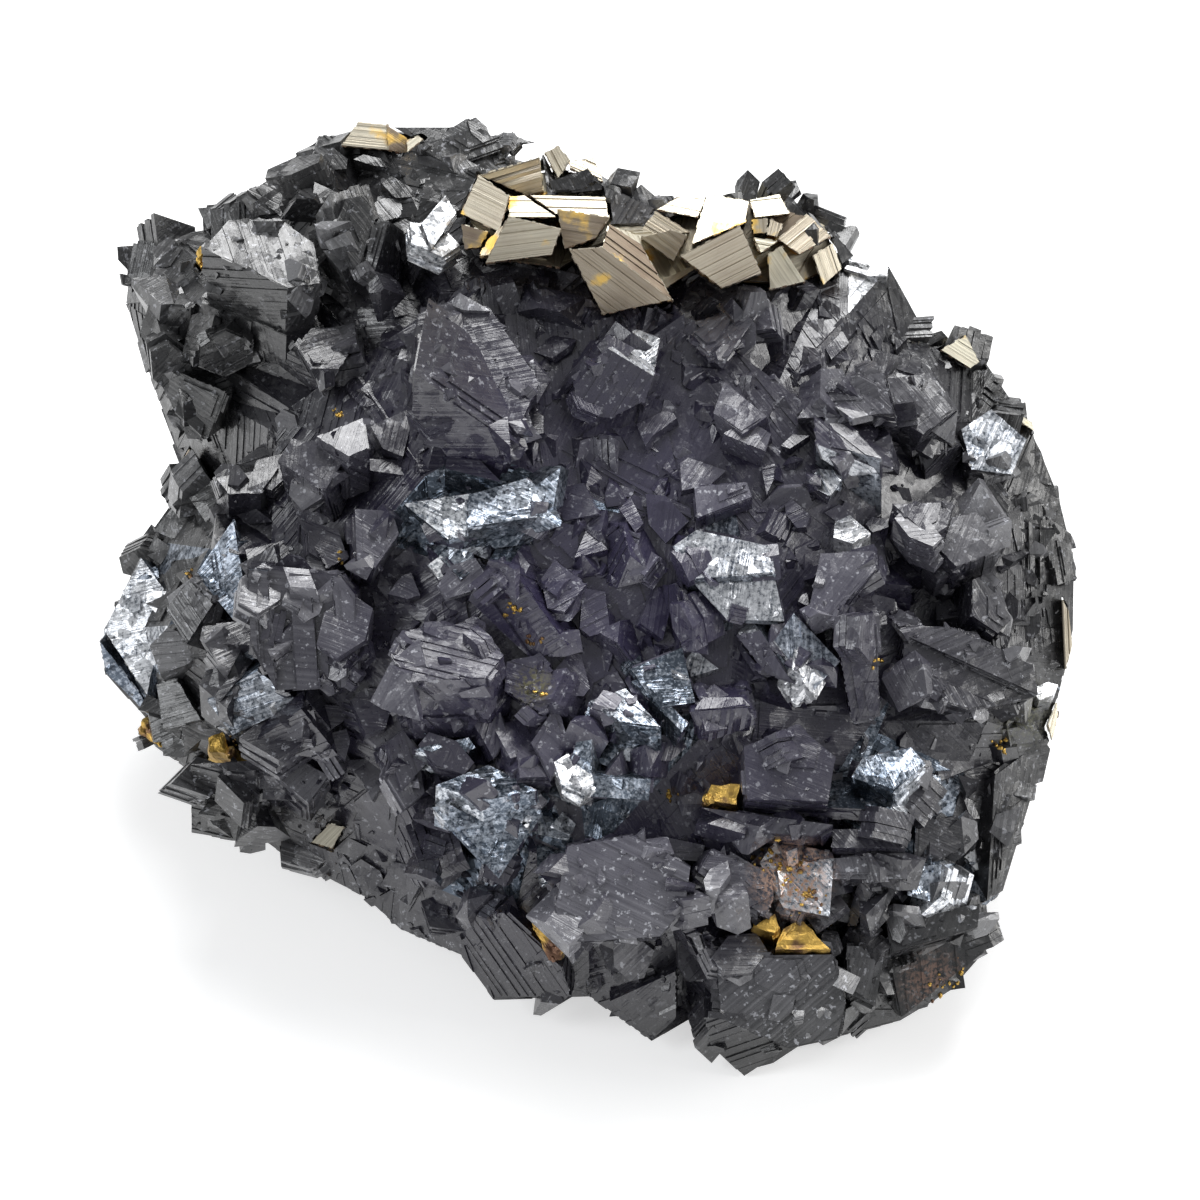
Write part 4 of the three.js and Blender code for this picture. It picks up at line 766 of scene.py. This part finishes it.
RULED_FACE = 1.5 * MM**2  # smaller faces stay smooth
for name in [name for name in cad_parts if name.startswith("pyrite")]:
    cubes = bmesh.new()
    cubes.from_mesh(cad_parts[name].data)
    bmesh.ops.remove_doubles(cubes, verts=cubes.verts, dist=1e-7)
    bmesh.ops.dissolve_limit(cubes, angle_limit=math.radians(0.6), verts=cubes.verts, edges=cubes.edges)
    tone_of = cubes.faces.layers.float.new("tone")
    foil_of = cubes.faces.layers.float.new("foil")
    grain_of = cubes.faces.layers.float_vector.new("grain")
    for face in list(cubes.faces):
        longest = max(face.edges, key=lambda edge: edge.calc_length())
        across = (longest.verts[0].co - longest.verts[1].co).cross(face.normal).normalized()
        # Painted light and painted shade: faces that look up get a higher tone, so a paler colour and
        # fainter lines; faces that look down get a lower, browner one.
        facing_up_painted_light = face.normal.dot(UPWARD)
        dress(face, min(max(0.5 + 0.42 * facing_up_painted_light + chance.gauss(0, 0.22), 0), 1), 0, across)
    ridges = bmesh.new()
    for face in cubes.faces:
        if face.calc_area() > RULED_FACE:
            ridge_face(face, (tone_of, foil_of, grain_of), ridges, 0.5 * MM, 0.06 * MM, 0.14 * MM)
    add_patch(ridges, cubes)
    piece = finish_piece(name + "_crystals", cubes)
    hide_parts(name)
    piece.data.materials.append(pyrite)

# Chalcopyrite grains between the dark crystals: rough golden metal, pitted and tarnished brown in
# places. The solids are copied with their faces roughened and with small lumps grown on them.
chalcopyrite = bpy.data.materials.new("chalcopyrite")
chalcopyrite.use_nodes = True
nodes, links = chalcopyrite.node_tree.nodes, chalcopyrite.node_tree.links
shader = nodes["Principled BSDF"]
place = add_node("ShaderNodeTexCoord").outputs["Object"]
pits = cloud(900, 5, 0.65)
rust = cloud(420, 3)
rust_share = range_of(rust, 0.45, 0.62)
links.new(blend_of(rust_share, (0.62, 0.4, 0.1, 1), (0.16, 0.09, 0.06, 1)), shader.inputs["Base Color"])
shader.inputs["Metallic"].default_value = 0.9
links.new(value_of("MULTIPLY_ADD", pits, 0.4, 0.15), shader.inputs["Roughness"])
bump = add_node("ShaderNodeBump", {"Height": pits, "Strength": 0.8, "Distance": 0.3 * MM})
links.new(bump.outputs[0], shader.inputs["Normal"])


def add_lump(into, place, size):
    """A rough grain: a ball of a few faces with its corners pushed in and out."""
    made = bmesh.ops.create_icosphere(into, subdivisions=2, radius=size)["verts"]
    bmesh.ops.scale(into, verts=made, vec=[chance.uniform(0.6, 1.3) for _ in range(3)])
    for vert in made:
        vert.co *= chance.uniform(0.75, 1.15)
    bmesh.ops.translate(into, verts=made, vec=place)


LUMPS_PER_GRAIN = 14
for name in [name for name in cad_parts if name.startswith("chalcopyrite")]:
    grain_shape = bmesh.new()
    grain_shape.from_mesh(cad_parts[name].data)
    bmesh.ops.remove_doubles(grain_shape, verts=grain_shape.verts, dist=1e-7)
    bmesh.ops.triangulate(grain_shape, faces=grain_shape.faces)
    bmesh.ops.subdivide_edges(grain_shape, edges=grain_shape.edges, cuts=5, use_grid_fill=True)
    grain_shape.normal_update()
    for vert in grain_shape.verts:
        vert.co += vert.normal * (noise.noise(vert.co * 900) * 0.3 - 0.05) * MM
    lumps = bmesh.new()
    for vert in chance.sample(list(grain_shape.verts), LUMPS_PER_GRAIN):
        add_lump(lumps, vert.co - vert.normal * 0.2 * MM, chance.uniform(0.25, 0.7) * MM)
    add_patch(lumps, grain_shape)
    piece = finish_piece(name + "_grain", grain_shape)
    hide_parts(name)
    piece.data.materials.append(chalcopyrite)

# Specks of chalcopyrite too small for solids of their own, as u, v, reach in mm.
SPECKS = [
    (-24.9, 3.9, 0.6), (-40.3, 2.4, 0.5), (28.5, -6, 0.5), (-25, 18.5, 0.6), (-4.9, -9.2, 0.7),
    (-7.5, -0.8, 1), (-5.5, -4, 0.8), (20, -27, 2.8), (18, -25.3, 1.4), (22, -29.5, 1.6),
    (38, -38, 1.6), (35, -38.5, 1.4), (41, -14.5, 1), (-36, -14, 1), (8, -19.5, 0.8),
]
LUMPS_PER_MM = 9
specks = bmesh.new()
for u, v, reach in SPECKS:
    for _ in range(round(LUMPS_PER_MM * reach)):
        spot = on_display(u + chance.gauss(0, 0.5) * reach, v + chance.gauss(0, 0.5) * reach, ABOVE)
        hit = everything.ray_cast(spot, -OUTWARD)[0]
        if hit is not None:
            add_lump(specks, hit, chance.uniform(0.1, 0.3) * MM)
speck_piece = finish_piece("chalcopyrite_specks", specks)
speck_piece.data.materials.append(chalcopyrite)

# White table under the soft light of three studio lamps, behind and above, at the right and at the
# left, seen by a long lens at the height that looks straight at the display face.
floor_mesh = bpy.data.meshes.new("floor")
sheet = bmesh.new()
bmesh.ops.create_grid(sheet, x_segments=1, y_segments=1, size=3)
sheet.to_mesh(floor_mesh)
sheet.free()
floor = bpy.data.objects.new("floor", floor_mesh)
bpy.context.scene.collection.objects.link(floor)
paper = bpy.data.materials.new("white_paper")
paper.use_nodes = True
finish = paper.node_tree.nodes["Principled BSDF"].inputs
finish["Base Color"].default_value = (0.7, 0.7, 0.7, 1)
finish["Roughness"].default_value = 0.9
finish["Specular IOR Level"].default_value = 0.1
finish["Emission Color"].default_value = (1, 1, 1, 1)
finish["Emission Strength"].default_value = 0.55
floor_mesh.materials.append(paper)

world = bpy.data.worlds.new("studio")
world.use_nodes = True
world.node_tree.nodes["Background"].inputs["Color"].default_value = (0.96, 0.98, 1, 1)
world.node_tree.nodes["Background"].inputs["Strength"].default_value = 0.37
bpy.context.scene.world = world


STONE_MIDDLE = Vector((0, 0, 0.03))


def softbox(name, place, width, energy, colour):
    light = bpy.data.lights.new(name, "AREA")
    light.shape = "SQUARE"
    light.size = width
    light.energy = energy
    light.color = colour
    lamp = bpy.data.objects.new(name, light)
    lamp.location = place
    lamp.rotation_euler = (STONE_MIDDLE - Vector(place)).to_track_quat("-Z", "Y").to_euler()
    lamp.visible_camera = False
    bpy.context.scene.collection.objects.link(lamp)


softbox("overhead", (0.1, 0.45, 0.75), 0.55, 9, (1, 1, 1))
softbox("right_side", (0.8, -0.1, 0.5), 0.4, 3.6, (1, 0.99, 0.97))
softbox("left_fill", (-0.7, -0.3, 0.6), 0.4, 3, (0.96, 0.98, 1))

camera_data = bpy.data.cameras.new("camera")
camera_data.lens = 450
camera_data.sensor_width = 36
camera = bpy.data.objects.new("camera", camera_data)
CAMERA_AWAY = 1500  # mm in front of the display plane
camera.location = on_display(1, 0, CAMERA_AWAY)
camera.rotation_euler = (-OUTWARD).to_track_quat("-Z", "Y").to_euler()
camera_data.clip_end = 10
bpy.context.scene.collection.objects.link(camera)
bpy.context.scene.camera = camera
bpy.context.scene.view_settings.view_transform = "Standard"
